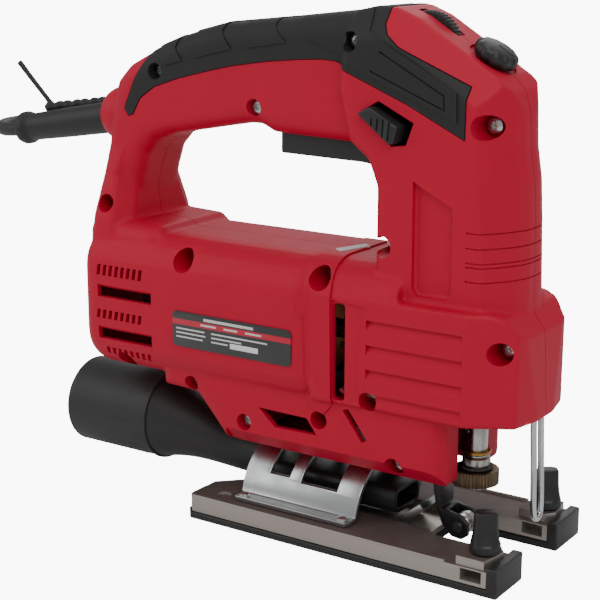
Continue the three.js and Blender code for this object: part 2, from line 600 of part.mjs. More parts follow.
place("orbit_lever", join(
  slab(leverArm, SKIRT_HALF_WIDTH + RUNNING_GAP, SKIRT_HALF_WIDTH + 5, { bevel: 1 }),
  rod(point(orbitCentre.x, 17, orbitCentre.z), Y_AXIS, 4, SKIRT_HALF_WIDTH - 14),
), "blackPlastic");

// ---------------------------------------------------------------- base
const halfLength = BASE_LENGTH / 2;
const halfWidth = BASE_WIDTH / 2;
const railInner = halfWidth - RAIL_WIDTH;
const capThickness = 4.5;
const capTop = PLATE_TOP + 2;

// Plan of the base, shrunk by margin, from rear to front with the blade gap between its rails.
function basePlan(margin, front) {
  const inner = railInner + margin;
  return mirrored([
    [-halfLength + 12 + margin, 8], [-halfLength + margin, 20], [-halfLength + margin, halfWidth - 5],
    [-halfLength + 4 + margin, halfWidth - margin], [front, halfWidth - margin], [front, inner],
    [BLADE_GAP_REAR + 6, inner], [BLADE_GAP_REAR - margin, inner - 6],
  ]);
}

const soleCaps = [-1, 1].map((side) => {
  const [y0, y1] = side > 0 ? [railInner, halfWidth] : [-halfWidth, -railInner];
  return block(halfLength - capThickness, halfLength, y0, y1, 0, capTop);
});
const rearLips = [-1, 1].map((side) => {
  const [y0, y1] = side > 0 ? [22, halfWidth - 6] : [6 - halfWidth, -22];
  return block(-halfLength, -halfLength + 2, y0, y1, 0, PLATE_TOP - 1);
});
place("sole_cover", join(upright(basePlan(0, halfLength), 0, SOLE_THICKNESS), soleCaps, rearLips),
  "blackPlastic");

const guideSlot = { x0: RAIL_SCREW_X - 5.5, x1: RAIL_SCREW_X + 3.5, z0: SOLE_THICKNESS + 1.6,
  z1: PLATE_TOP - 0.6 };
const bossPlan = [
  [RAIL_SCREW_X - 9, railInner + 5], [RAIL_SCREW_X + 3, railInner + 4], [RAIL_SCREW_X + 6, railInner + 8],
  [RAIL_SCREW_X + 4, halfWidth - 2], [RAIL_SCREW_X - 8, halfWidth - 2],
];
const bossTop = PLATE_TOP + 3.5;
const screwTipZ = guideSlot.z1 + 0.4;
place("footplate", cut(
  join(
    upright(basePlan(0.8, halfLength - capThickness - GAP), SOLE_THICKNESS + GAP, PLATE_TOP)
      .intersect(block(-halfLength + 2 + GAP, halfLength, -60, 60, 0, 60)),
    upright(bossPlan, PLATE_TOP - 1, bossTop),
    upright(bossPlan.map(([x, y]) => [x, -y]), PLATE_TOP - 1, bossTop),
  ),
  block(guideSlot.x0, guideSlot.x1, -60, 60, guideSlot.z0, guideSlot.z1),
  [-1, 1].map((side) => rod(
    point(RAIL_SCREW_X, side * (railInner + 12), screwTipZ - 2), Z_AXIS, 2.5 + GAP, 20, 12)),
  // shallow pocket for the chip duct between the arch's feet
  block(ARCH_REAR - 4, BLADE_GAP_REAR + 5, -13, 13, PLATE_TOP - 4, 20),
), "castAluminium");

for (const [name, side] of [["right", -1], ["left", 1]]) {
  const base = point(RAIL_SCREW_X, side * (railInner + 12), screwTipZ);
  const lift = bossTop - screwTipZ + GAP;
  place(`rail_screw_${name}`, turned([
    [0, 0], [2.5, 0], [2.5, lift], [6, lift], [6, lift + 4], [4.6, lift + 6.5], [4.1, lift + 16.5],
    [0, lift + 16.5],
  ], base, Z_AXIS, 12), "blackPlastic");
}

// ---------------------------------------------------------------- bevel bracket
function archSection() {
  const footAngle = Math.asin((PLATE_TOP + ARCH_THICKNESS + 1 - TILT_AXIS_Z) / ARCH_RADIUS);
  const outerArc = [];
  const innerArc = [];
  for (let i = 0; i <= 14; i++) {
    const angle = footAngle + ((Math.PI - 2 * footAngle) * i) / 14;
    outerArc.push([ARCH_RADIUS * Math.cos(angle), TILT_AXIS_Z + ARCH_RADIUS * Math.sin(angle)]);
    const inner = ARCH_RADIUS - ARCH_THICKNESS;
    innerArc.push([inner * Math.cos(angle), TILT_AXIS_Z + inner * Math.sin(angle)]);
  }
  const foot = halfWidth - 7;
  const sheetTop = PLATE_TOP + GAP + ARCH_THICKNESS;
  const sheetBottom = PLATE_TOP + GAP;
  const inner = ARCH_RADIUS - ARCH_THICKNESS;
  return [
    [foot, sheetBottom], [foot, sheetTop], [outerArc[0][0] + 0.4, sheetTop], ...outerArc,
    [-outerArc[0][0] - 0.4, sheetTop], [-foot, sheetTop], [-foot, sheetBottom], [-inner + 1, sheetBottom],
    ...innerArc.reverse(), [inner - 1, sheetBottom],
  ];
}

const slotFloor = TILT_AXIS_Z + 13.5;
place("bevel_bracket", cut(
  lengthwise(archSection(), ARCH_REAR, ARCH_REAR + ARCH_LENGTH),
  block(ARCH_REAR + 12, ARCH_REAR + 22, -40, 40, slotFloor + 1, 60),
  block(ARCH_REAR + 28, ARCH_REAR + 46, -40, 40, slotFloor, 60),
  [ARCH_REAR + 4, ARCH_REAR + ARCH_LENGTH - 4].flatMap((x) => [-1, 1].map((side) =>
    rod(point(x, side * (halfWidth - 10), 5), Z_AXIS, 1.8, 20, 10))),
), "zinc");
place("bevel_screw", turned([
  [0, 0], [5, 0], [5, 2.6], [2.5, 2.6], [2.5, 18], [0, 18],
], point(ARCH_REAR + 37, 0, TILT_AXIS_Z + ARCH_RADIUS - 5.7), Z_AXIS, 12), "steel");

// ---------------------------------------------------------------- dust extraction
const tubeFront = TUBE_REAR + TUBE_LENGTH;
const neckX = -62;
function tubeBody(wall) {
  const radius = TUBE_RADIUS - wall;
  const neckRadius = 9.3 - wall;
  const neckZ = 20;
  const runOut = wall ? 1 : 0;
  const barrel = rod(point(TUBE_REAR - runOut, 0, TUBE_Z), X_AXIS, radius, TUBE_LENGTH + runOut, 20);
  const steps = 4;
  const rings = [];
  for (let i = 0; i < steps; i++) {
    const a = i / steps;
    const b = (i + 1) / steps;
    const size = (t) => radius + (neckRadius - radius) * Math.sin((Math.PI / 2) * t);
    const height = (t) => TUBE_Z + (neckZ - TUBE_Z) * t;
    const along = (t) => tubeFront + (neckX - tubeFront) * t;
    const direction = point(along(b) - along(a), 0, height(b) - height(a));
    const length = direction.length();
    rings.push(turned([[0, -0.6], [size(a), -0.6], [size(b), length], [0, length]],
      point(along(a), 0, height(a)), direction, 16));
  }
  const neck = rod(point(neckX - 2, 0, neckZ), X_AXIS, neckRadius, 10 + (wall ? 3 : 0), 16);
  return join(barrel, rings, neck);
}
place("dust_tube", cut(tubeBody(0), tubeBody(TUBE_WALL)), "blackPlastic");

const ductRear = neckX + 8 + GAP;
const ductFront = 14;
place("chip_duct", cut(
  lengthwise(roundedRectangle(DUCT_HALF_WIDTH, DUCT_FLOOR, DUCT_TOP, 4), ductRear, ductFront),
  lengthwise(roundedRectangle(DUCT_HALF_WIDTH - 2, DUCT_FLOOR + 2, DUCT_TOP - 2, 2.5), ductRear - 1,
    ductFront + 1),
), "blackPlastic");
const deflectorSide = [[ductFront + GAP, 7], [17, 7], [26.5, 15.5], [25, 18], [ductFront + GAP, 9.5]];
place("chip_deflector", slab(deflectorSide, -9, 9), "zinc");

// ---------------------------------------------------------------- wire guard
const guardX = nose(3.6);
const guardHalf = 3.3;
place("wire_guard", tubeAlong([
  [guardX, -guardHalf + 0.6, CASE_FLOOR + 7], [guardX, -guardHalf, CASE_FLOOR - 1],
  [guardX + 0.8, -guardHalf, 42],
  [guardX + 1.4, -guardHalf, 24], [guardX + 1.5, -guardHalf * 0.75, 20.9], [guardX + 1.6, 0, 19.6],
  [guardX + 1.5, guardHalf * 0.75, 20.9], [guardX + 1.4, guardHalf, 24], [guardX + 0.8, guardHalf, 42],
  [guardX, guardHalf, CASE_FLOOR - 1], [guardX, guardHalf - 0.6, CASE_FLOOR + 7],
], 1.3, 24, 8), "chrome");

// ---------------------------------------------------------------- controls
const triggerOutline = [
  [TRIGGER_REAR, up(61)], [TRIGGER_REAR, up(51)], [-6, up(49)], [5, up(49)], [9, up(55)], [9.2, up(68)],
  [6, up(64.5)], [1, up(62.4)], [-5, up(61.6)],
];
place("trigger", slab(triggerOutline, -TRIGGER_HALF_WIDTH, TRIGGER_HALF_WIDTH, { bevel: 1.5 }),
  "blackPlastic");
place("power_switch", block(-42, -4, -TRIGGER_HALF_WIDTH, TRIGGER_HALF_WIDTH, up(43.5), up(27)),
  "blackPlastic");
const lockButton = slab(lockButtonOutline, -COLUMN_HALF_WIDTH - 1.2, -12, { bevel: 0.8, inset: GAP });
place("lock_button", lockButton, "blackPlastic");
const dialPoints = [];
for (let i = 0; i < 36; i++) {
  const radius = i % 2 ? DIAL_RADIUS : DIAL_RADIUS - 0.6;
  const angle = (2 * Math.PI * i) / 36;
  dialPoints.push([dialCentre.x + radius * Math.cos(angle), dialCentre.z + radius * Math.sin(angle)]);
}
place("speed_dial", slab(dialPoints, -DIAL_WIDTH / 2, DIAL_WIDTH / 2), "blackPlastic");
const knobPoints = [];
for (let i = 0; i < 32; i++) {
  const radius = i % 4 < 2 ? KNOB_RADIUS : KNOB_RADIUS - 0.7;
  const angle = (2 * Math.PI * i) / 32;
  knobPoints.push([radius * Math.cos(angle), radius * Math.sin(angle)]);
}
const knobTurn = new THREE.Matrix4().makeRotationY(degrees(KNOB_SLOPE)).setPosition(knobSeat);
const knobCap = extrusion(knobPoints, 6, { bevel: 1 }).translate(0, 0, 0.6).applyMatrix4(knobTurn);
place("front_knob", join(
  solid(knobCap), rod(knobSeat.clone().addScaledVector(knobAxis, -9), knobAxis, 3, 11),
), "blackPlastic");

// ---------------------------------------------------------------- cord
const bootStart = glandCentre.clone().addScaledVector(bootDirection, 4);
const bootLength = 65;
place("cord_boot", turned([
  [0, 0], [BOOT_RADIUS, 0], [BOOT_RADIUS, 18], [BOOT_RADIUS - 0.7, bootLength - 9],
  [BOOT_RADIUS - 0.5, bootLength - 7], [BOOT_RADIUS + 0.4, bootLength - 6],
  [BOOT_RADIUS + 0.6, bootLength - 3], [BOOT_RADIUS - 0.2, bootLength - 0.6],
  [BOOT_RADIUS - 2, bootLength], [0, bootLength],
], bootStart, bootDirection, 16), "blackRubber");

const bootEnd = bootStart.clone().addScaledVector(bootDirection, bootLength + GAP);
const leadY = COIL_CENTRE.y - COIL_INNER_TURN - (COIL_TURNS - 1) * 2 * CORD_RADIUS;
const leadPoints = [
  [bootEnd.x, 0, bootEnd.z], [-202.4, 0.1, 153.9], [-211.6, 2.4, 153], [-219.9, 8, 152.7],
  [-225.3, 16.3, 152.6], [-227.3, 26, 152.6], [-225.3, 35.8, 152.5], [-219.9, 44.2, 152.4],
  [-211.6, 50, 152.2], [-201.8, leadY, 151.9], [-191, leadY, 151.3], [-181.8, leadY, 150.4], [-172, leadY, 147.6],
  [-163.6, leadY, 141.8], [-158, leadY, 133.2], [-155.8, leadY, 123], [-155.6, leadY, 100],
  [-155.6, leadY, 75], [-155.6, leadY, 50], [-155.4, leadY, 29.4], [-153.4, leadY, 19.4],
  [-147.8, leadY, 11], [-139.4, leadY, 5.4], [-129.4, leadY, 3.45], [-119, leadY, 3.45], [-110, leadY, 3.45],
];
place("cord_lead", tubeAlong(leadPoints, CORD_RADIUS, 48, 8), "blackRubber");

const coilInner = COIL_INNER_TURN - CORD_RADIUS - 1.6;
const coilOuter = COIL_INNER_TURN + (2 * COIL_TURNS - 1) * CORD_RADIUS + 0.35;
const coilHeight = 2 * CORD_RADIUS * COIL_LAYERS + 0.4;
place("cord_coil", collar(
  point(COIL_CENTRE.x, COIL_CENTRE.y, 0.2), Z_AXIS, coilInner, coilOuter, coilHeight, 32), "blackRubber");

// The last half turn lies on top of the coil and works its way in to the plug.
const tailZ = 0.2 + coilHeight + CORD_RADIUS + GAP;
const tailTurn = { from: COIL_INNER_TURN + 16.3, to: COIL_INNER_TURN, steps: 12 };
const tailPoints = [];
for (let i = 0; i <= tailTurn.steps; i++) {
  const share = i / tailTurn.steps;
  const radius = tailTurn.to + (tailTurn.from - tailTurn.to) * (1 + Math.cos(Math.PI * share)) / 2;
  const angle = -Math.PI / 2 + Math.PI * share;
  tailPoints.push([
    COIL_CENTRE.x + radius * Math.cos(angle), COIL_CENTRE.y + radius * Math.sin(angle),
    tailZ + 4.5 * share ** 3,
  ]);
}
place("cord_tail", tubeAlong(tailPoints, CORD_RADIUS, 24, 8), "blackRubber");

const plugTilt = degrees(12);
const plugDirection = point(-Math.cos(plugTilt), 0, Math.sin(plugTilt));
const plugStart = point(...tailPoints.at(-1)).addScaledVector(plugDirection, CORD_RADIUS);
const plugProfile = [
  [0, 0], [4, 0], [5.2, 4], [6, 16], [9, 20], [13.4, 26], [13.6, 44], [12.6, 46], [0, 46],
];
const plugPin = { offset: 9.5, radius: 2.4, length: 19, root: 44 };
place("plug_body", join(
  turned(plugProfile, plugStart, plugDirection, 16),
  [-1, 1].map((side) => rod(
    plugStart.clone().addScaledVector(plugDirection, plugPin.root).add(point(0, side * plugPin.offset, 0)),
    plugDirection, plugPin.radius, plugPin.length + 2, 10)),
), "blackPlastic");

export default jigsaw;
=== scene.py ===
"""Looks of an orbital jigsaw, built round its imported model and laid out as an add-on."""

import math

import bpy
from bpy.props import FloatProperty, FloatVectorProperty, IntProperty, PointerProperty
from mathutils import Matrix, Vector


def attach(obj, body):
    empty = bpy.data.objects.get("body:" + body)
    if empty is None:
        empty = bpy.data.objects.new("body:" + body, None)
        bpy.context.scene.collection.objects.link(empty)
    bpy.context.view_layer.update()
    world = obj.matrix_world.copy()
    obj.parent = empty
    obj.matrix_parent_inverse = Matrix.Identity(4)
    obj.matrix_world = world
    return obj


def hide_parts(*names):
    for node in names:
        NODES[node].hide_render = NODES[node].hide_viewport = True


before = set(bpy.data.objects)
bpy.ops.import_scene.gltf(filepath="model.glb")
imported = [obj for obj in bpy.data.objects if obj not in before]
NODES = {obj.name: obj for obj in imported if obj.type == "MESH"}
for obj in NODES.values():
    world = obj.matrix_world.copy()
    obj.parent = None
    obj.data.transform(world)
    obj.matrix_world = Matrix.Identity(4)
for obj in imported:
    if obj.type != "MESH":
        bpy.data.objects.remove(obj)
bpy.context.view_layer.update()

bl_info = {
    "name": "Orbital Jigsaw",
    "version": (1, 0, 0),
    "blender": (4, 5, 0),
    "location": "3D View > Sidebar > Jigsaw",
    "description": "Builds the shells, grips, base and fittings of an orbital jigsaw",
    "category": "Object",
}

MM = 0.001
RIGHT, LEFT = -1, 1


# ------------------------------------------------------------------ sizes and colours
def length(name, text, value, **limits):
    return FloatProperty(name=name, description=text, default=value, unit="LENGTH", precision=5, **limits)


def tint(name, text, red, green, blue):
    """A colour property given as 8-bit display values."""
    value = [((c / 255 + 0.055) / 1.055) ** 2.4 if c > 10 else c / 3294 for c in (red, green, blue)]
    return FloatVectorProperty(name=name, description=text, subtype="COLOR", size=3, min=0, max=1, default=value)


class JigsawSizes(bpy.types.PropertyGroup):
    """Sizes that set how fine and how rounded the moulded shells are."""

    voxel: length("Shell voxel", "Grid that the moulded shell is rebuilt on", 0.0009, min=0.0005)
    cavity_voxel: length("Cavity voxel", "Grid of the hollow inside the shell", 0.002, min=0.001)
    wall: length("Wall", "Wall thickness of the housing", 0.0025)
    seam: length("Seam", "Gap between the two halves of the housing", 0.0003)
    softening: IntProperty(name="Softening", description="Smoothing passes over the moulded edges", default=5)
    grip_depth: length("Grip depth", "How deep the soft grip sits in the shell", 0.001)
    grip_rise: length("Grip rise", "How far the soft grip stands proud", 0.0003)
    cord_diameter: length("Cord diameter", "Outer diameter of the mains cord", 0.0065)


class JigsawColours(bpy.types.PropertyGroup):
    """Colours of the jigsaw's finishes."""

    shell: tint("Shell", "Moulded housing", 188, 14, 50)
    grip: tint("Grip", "Soft overmould", 36, 36, 35)
    plastic: tint("Plastic", "Black moulded parts", 27, 27, 27)
    cord: tint("Cord", "Rubber cord and boot", 24, 24, 24)
    cast: tint("Cast metal", "Machined sides of the footplate", 178, 172, 165)
    coating: tint("Coating", "Rough top of the footplate", 96, 84, 80)
    zinc: tint("Zinc", "Plated sheet steel", 200, 204, 204)
    steel: tint("Steel", "Ground steel", 190, 188, 184)
    bronze: tint("Bronze", "Sintered clamp ring", 120, 104, 84)
    brass: tint("Brass", "Spring and brush holders", 190, 150, 80)
    copper: tint("Copper", "Windings", 170, 100, 60)
    floor: tint("Floor", "Pale studio floor", 240, 240, 240)


def sizes():
    return bpy.context.scene.jigsaw_sizes


def colours():
    return bpy.context.scene.jigsaw_colours


def voxel():
    return sizes().voxel * 1


# ------------------------------------------------------------------ modelling helpers
AXES = {
    "X": (Vector((0, 1, 0)), Vector((0, 0, 1)), Vector((1, 0, 0))),
    "Y": (Vector((1, 0, 0)), Vector((0, 0, 1)), Vector((0, 1, 0))),
    "Z": (Vector((1, 0, 0)), Vector((0, 1, 0)), Vector((0, 0, 1))),
}


def clear_selection():
    if bpy.context.object is not None and bpy.context.object.mode == "EDIT":
        bpy.ops.object.mode_set(mode="OBJECT")
    bpy.ops.object.select_all(action="DESELECT")


def choose(*pieces):
    clear_selection()
    for piece in pieces:
        piece.select_set(True)
    bpy.context.view_layer.objects.active = pieces[0]


def name_active(name):
    piece = bpy.context.object
    piece.name = name
    piece.data.name = name
    return piece


def modify(piece, kind, **values):
    """Adds a modifier with these values and applies it."""
    choose(piece)
    bpy.ops.object.modifier_add(type=kind)
    change = piece.modifiers[-1]
    for key, value in values.items():
        setattr(change, key, value)
    bpy.ops.object.modifier_apply(modifier=change.name)
    return piece


def bevel(piece, width, segments=3, angle=40, clamp=True):
    return modify(piece, "BEVEL", width=width * MM, segments=segments, limit_method="ANGLE",
                  angle_limit=math.radians(angle), use_clamp_overlap=clamp)


def discard(*pieces):
    for piece in pieces:
        bpy.data.objects.remove(piece)


def combine(piece, other, operation="DIFFERENCE", keep=False):
    """Cuts the other piece from this one, joins it to it, or keeps what both hold."""
    modify(piece, "BOOLEAN", operation=operation, object=other, solver="MANIFOLD")
    if not keep:
        discard(other)
    return piece


def copy_of(piece, name):
    choose(piece)
    bpy.ops.object.duplicate()
    return name_active(name)


def fuse(name, *pieces):
    choose(*pieces)
    if len(pieces) > 1:
        bpy.ops.object.join()
    return name_active(name)


def face_outwards(piece):
    choose(piece)
    bpy.ops.object.mode_set(mode="EDIT")
    bpy.ops.mesh.select_all(action="SELECT")
    bpy.ops.mesh.normals_make_consistent(inside=False)
    bpy.ops.object.mode_set(mode="OBJECT")
    return piece


def plate(name, outline, low, high, along="Y"):
    """A solid with the outline's corners, between two distances along an axis, in millimetres."""
    clear_selection()
    bpy.ops.mesh.primitive_circle_add(vertices=len(outline), fill_type="NGON")
    piece = name_active(name)
    across, up, out = AXES[along]
    for corner, (u, v) in zip(piece.data.vertices, outline):
        corner.co = (across * u + up * v + out * low) * MM
    bpy.ops.object.mode_set(mode="EDIT")
    bpy.ops.mesh.select_all(action="SELECT")
    bpy.ops.mesh.extrude_region_move(TRANSFORM_OT_translate={"value": out * (high - low) * MM})
    bpy.ops.object.mode_set(mode="OBJECT")
    return face_outwards(piece)


def block(name, x0, x1, y0, y1, z0, z1):
    return plate(name, [(x0, y0), (x1, y0), (x1, y1), (x0, y1)], z0, z1, along="Z")


def arc(centre_u, centre_v, radius, start, end, steps=8):
    """Points of an arc between two angles in degrees."""
    angles = [math.radians(start + (end - start) * i / steps) for i in range(steps + 1)]
    return [(centre_u + radius * math.cos(a), centre_v + radius * math.sin(a)) for a in angles]


def rounded(u0, u1, v0, v1, radius, steps=6):
    """A rectangle with round corners."""
    return (arc(u1 - radius, v0 + radius, radius, -90, 0, steps) + arc(u1 - radius, v1 - radius, radius, 0, 90, steps)
            + arc(u0 + radius, v1 - radius, radius, 90, 180, steps)
            + arc(u0 + radius, v0 + radius, radius, 180, 270, steps))


def loft(name, rings):
    """A closed skin through rings of points, each with the same number of points."""
    count = len(rings[0])
    clear_selection()
    bpy.ops.mesh.primitive_grid_add(x_subdivisions=count, y_subdivisions=len(rings) - 1, size=1)
    piece = name_active(name)
    for index, vertex in enumerate(piece.data.vertices):
        row, column = divmod(index, count + 1)
        vertex.co = Vector(rings[row][column % count]) * MM
    bpy.ops.object.mode_set(mode="EDIT")
    bpy.ops.mesh.select_all(action="SELECT")
    bpy.ops.mesh.remove_doubles(threshold=1e-6)
    bpy.ops.mesh.fill_holes(sides=0)
    bpy.ops.object.mode_set(mode="OBJECT")
    return face_outwards(piece)


def circle_ring(centre, direction, radius, sides, wobble=None):
    """Points round a circle about a direction; wobble changes the radius by angle."""
    turn = Vector((0, 0, 1)).rotation_difference(Vector(direction))
    ring = []
    for i in range(sides):
        angle = 2 * math.pi * i / sides
        reach = radius + (wobble(angle) if wobble else 0)
        ring.append(Vector(centre) + turn @ Vector((reach * math.cos(angle), reach * math.sin(angle), 0)))
    return ring


def turned(name, profile, start, direction, sides=48, wobble=None):
    """A piece turned about a line; the profile lists (radius, distance)."""
    axis = Vector(direction).normalized()
    rings = [circle_ring(Vector(start) + axis * d, axis, r, sides, wobble if r > 0 else None) for r, d in profile]
    return loft(name, rings)


def rod(name, start, direction, radius, reach, sides=32):
    return turned(name, [(0, 0), (radius, 0), (radius, reach), (0, reach)], start, direction, sides)


def smooth(piece, angle=35):
    choose(piece)
    bpy.ops.object.shade_smooth_by_angle(angle=math.radians(angle))
    return piece


def finish_piece(piece, body, slot, material, *replaced, angle=35):
    """Shades the piece, gives it its material and body, and hides the CAD nodes it stands for."""
    smooth(piece, angle)
    piece.data.materials.clear()
    piece.data.materials.append(material)
    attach(piece, body)
    if replaced:
        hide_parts(*replaced)
    return piece


# ------------------------------------------------------------------ shader groups
def add_node(tree, kind, inputs=None, **settings):
    made = tree.nodes.new(kind)
    for key, value in settings.items():
        setattr(made, key, value)
    for key, value in (inputs or {}).items():
        if isinstance(value, bpy.types.NodeSocket):
            tree.links.new(value, made.inputs[key])
        else:
            made.inputs[key].default_value = value
    return made


def new_group(name, inputs, outputs):
    """An empty node group; inputs are (name, default) and outputs are names of float sockets."""
    tree = bpy.data.node_groups.new(name, "ShaderNodeTree")
    for label, value in inputs:
        socket = tree.interface.new_socket(label, in_out="INPUT", socket_type="NodeSocketFloat")
        socket.default_value = value
    for label in outputs:
        tree.interface.new_socket(label, in_out="OUTPUT", socket_type="NodeSocketFloat")
    return tree, tree.nodes.new("NodeGroupInput"), tree.nodes.new("NodeGroupOutput")


def object_coordinates(tree):
    return add_node(tree, "ShaderNodeTexCoord").outputs["Object"]


def grain_group():
    """Fine spark-eroded grain of a moulded surface."""
    tree, given, result = new_group("moulded_grain", [("Scale", 2500.0), ("Unevenness", 0.4)], ["Height"])
    place = object_coordinates(tree)
    fine = add_node(tree, "ShaderNodeTexNoise", {"Vector": place, "Scale": given.outputs["Scale"], "Detail": 2.0})
    slow = add_node(tree, "ShaderNodeTexNoise", {"Vector": place, "Scale": 160.0, "Detail": 1.0})
    swell = add_node(tree, "ShaderNodeMath", {0: slow.outputs["Fac"], 1: given.outputs["Unevenness"]},
                     operation="MULTIPLY")
    total = add_node(tree, "ShaderNodeMath", {0: fine.outputs["Fac"], 1: swell.outputs[0]}, operation="ADD")
    tree.links.new(total.outputs[0], result.inputs["Height"])
    return tree


def patches_group():
    """Slow patches of handling marks and dust, from 0 to 1."""
    tree, given, result = new_group("handled_patches", [("Scale", 40.0), ("Sharpness", 2.0)], ["Mask"])
    place = object_coordinates(tree)
    cloud = add_node(tree, "ShaderNodeTexNoise",
                     {"Vector": place, "Scale": given.outputs["Scale"], "Detail": 5.0, "Roughness": 0.6})
    centred = add_node(tree, "ShaderNodeMath", {0: cloud.outputs["Fac"], 1: 0.5}, operation="SUBTRACT")
    steep = add_node(tree, "ShaderNodeMath", {0: centred.outputs[0], 1: given.outputs["Sharpness"]},
                     operation="MULTIPLY")
    lifted = add_node(tree, "ShaderNodeMath", {0: steep.outputs[0], 1: 0.5}, operation="ADD", use_clamp=True)
    tree.links.new(lifted.outputs[0], result.inputs["Mask"])
    return tree


def edge_rub_highlight_group():
    """Edges that are rubbed lighter and given a painted highlight, from 0 to 1."""
    tree, given, result = new_group("edge_wear", [("Start", 0.53), ("Width", 0.08)], ["Mask"])
    shape = add_node(tree, "ShaderNodeNewGeometry")
    end = add_node(tree, "ShaderNodeMath", {0: given.outputs["Start"], 1: given.outputs["Width"]}, operation="ADD")
    ramp = add_node(tree, "ShaderNodeMapRange", {
        "Value": shape.outputs["Pointiness"], "From Min": given.outputs["Start"], "From Max": end.outputs[0]})
    tree.links.new(ramp.outputs["Result"], result.inputs["Mask"])
    return tree


def streaks_group():
    """Fine lines left by rolling or grinding; a high scale across them and a low one along them."""
    tree, given, result = new_group(
        "brushed_streaks", [("Across X", 40.0), ("Across Y", 2500.0), ("Across Z", 2500.0)], ["Mask"])
    place = object_coordinates(tree)
    stretch = add_node(tree, "ShaderNodeCombineXYZ", {
        "X": given.outputs["Across X"], "Y": given.outputs["Across Y"], "Z": given.outputs["Across Z"]})
    scaled = add_node(tree, "ShaderNodeVectorMath", {0: place, 1: stretch.outputs[0]}, operation="MULTIPLY")
    lines = add_node(tree, "ShaderNodeTexNoise",
                     {"Vector": scaled.outputs[0], "Scale": 1.0, "Detail": 3.0, "Roughness": 0.65})
    tree.links.new(lines.outputs["Fac"], result.inputs["Mask"])
    return tree


def upward_group():
    """1 where the surface faces up above a height, 0 elsewhere."""
    tree, given, result = new_group("upward_faces", [("Height", 0.0092)], ["Mask"])
    shape = add_node(tree, "ShaderNodeNewGeometry")
    normal = add_node(tree, "ShaderNodeSeparateXYZ", {0: shape.outputs["True Normal"]})
    place = add_node(tree, "ShaderNodeSeparateXYZ", {0: object_coordinates(tree)})
    flat = add_node(tree, "ShaderNodeMath", {0: normal.outputs["Z"], 1: 0.9}, operation="GREATER_THAN")
    high = add_node(tree, "ShaderNodeMath", {0: place.outputs["Z"], 1: given.outputs["Height"]},
                    operation="GREATER_THAN")
    both = add_node(tree, "ShaderNodeMath", {0: flat.outputs[0], 1: high.outputs[0]}, operation="MULTIPLY")
    tree.links.new(both.outputs[0], result.inputs["Mask"])
    return tree


def place_group(tree, name, **values):
    made = tree.nodes.new("ShaderNodeGroup")
    made.node_tree = bpy.data.node_groups[name]
    for key, value in values.items():
        made.inputs[key.replace("_", " ")].default_value = value
    return made.outputs[0]


# ------------------------------------------------------------------ materials
def shaded(colour, factor):
    return [min(1.0, c * factor) for c in colour]


def mix_colour(tree, mask, first, second):
    """Blends two colours by a mask; each is a colour or a socket."""
    made = add_node(tree, "ShaderNodeMix", data_type="RGBA")
    tree.links.new(mask, made.inputs["Factor"])
    for socket, value in ((made.inputs[6], first), (made.inputs[7], second)):
        if isinstance(value, bpy.types.NodeSocket):
            tree.links.new(value, socket)
        else:
            socket.default_value = (*value, 1)
    return made.outputs[2]


def mix_value(tree, mask, low, high):
    return add_node(tree, "ShaderNodeMapRange", {"Value": mask, "To Min": low, "To Max": high}).outputs["Result"]


def start_material(name, **sockets):
    """A material with a Principled shader whose plain sockets hold these values."""
    made = bpy.data.materials.new(name)
    made.use_nodes = True
    surface = made.node_tree.nodes["Principled BSDF"]
    for key, value in sockets.items():
        surface.inputs[key.replace("_", " ")].default_value = value
    return made, made.node_tree, surface


def add_bump(tree, surface, height, strength, distance):
    bump = add_node(tree, "ShaderNodeBump", {"Height": height, "Strength": strength, "Distance": distance})
    tree.links.new(bump.outputs["Normal"], surface.inputs["Normal"])


def moulded_material(name, colour, roughness, grain=2500.0, depth=0.00004, wear=0.12, patch=0.08, specular=0.5):
    """Moulded plastic or rubber: grained, with handling patches and edges made lighter by wear and by a painted
    highlight.
    """
    made, tree, surface = start_material(name, Specular_IOR_Level=specular)
    patches = place_group(tree, "handled_patches", Scale=38.0, Sharpness=1.6)
    edges = place_group(tree, "edge_wear")
    tone = mix_colour(tree, patches, shaded(colour, 1 - patch), shaded(colour, 1 + patch))
    # Sharp edges are lightened here: partly wear, partly a painted highlight along them.
    rubbed_and_highlit = add_node(tree, "ShaderNodeMath", {0: edges, 1: wear}, operation="MULTIPLY")
    lighter = [min(1.0, c * 1.5 + 0.08) for c in colour]
    tree.links.new(mix_colour(tree, rubbed_and_highlit.outputs[0], tone, lighter), surface.inputs["Base Color"])
    tree.links.new(mix_value(tree, patches, roughness - 0.05, roughness + 0.06), surface.inputs["Roughness"])
    add_bump(tree, surface, place_group(tree, "moulded_grain", Scale=grain), 0.35, depth)
    return made


def metal_material(name, colour, roughness, streaks=(2200.0, 2200.0, 60.0), contrast=0.2, depth=0.00002):
    """Ground, drawn or cast metal with lines or grain and a few duller patches."""
    made, tree, surface = start_material(name, Metallic=1.0)
    lines = place_group(tree, "brushed_streaks", Across_X=streaks[0], Across_Y=streaks[1], Across_Z=streaks[2])
    patches = place_group(tree, "handled_patches", Scale=90.0, Sharpness=2.5)
    tone = mix_colour(tree, lines, shaded(colour, 1 - contrast), shaded(colour, 1 + contrast))
    dull = mix_colour(tree, patches, tone, shaded(colour, 0.82))
    tree.links.new(dull, surface.inputs["Base Color"])
    tree.links.new(mix_value(tree, patches, roughness - 0.06, roughness + 0.1), surface.inputs["Roughness"])
    add_bump(tree, surface, lines, 0.4, depth)
    return made


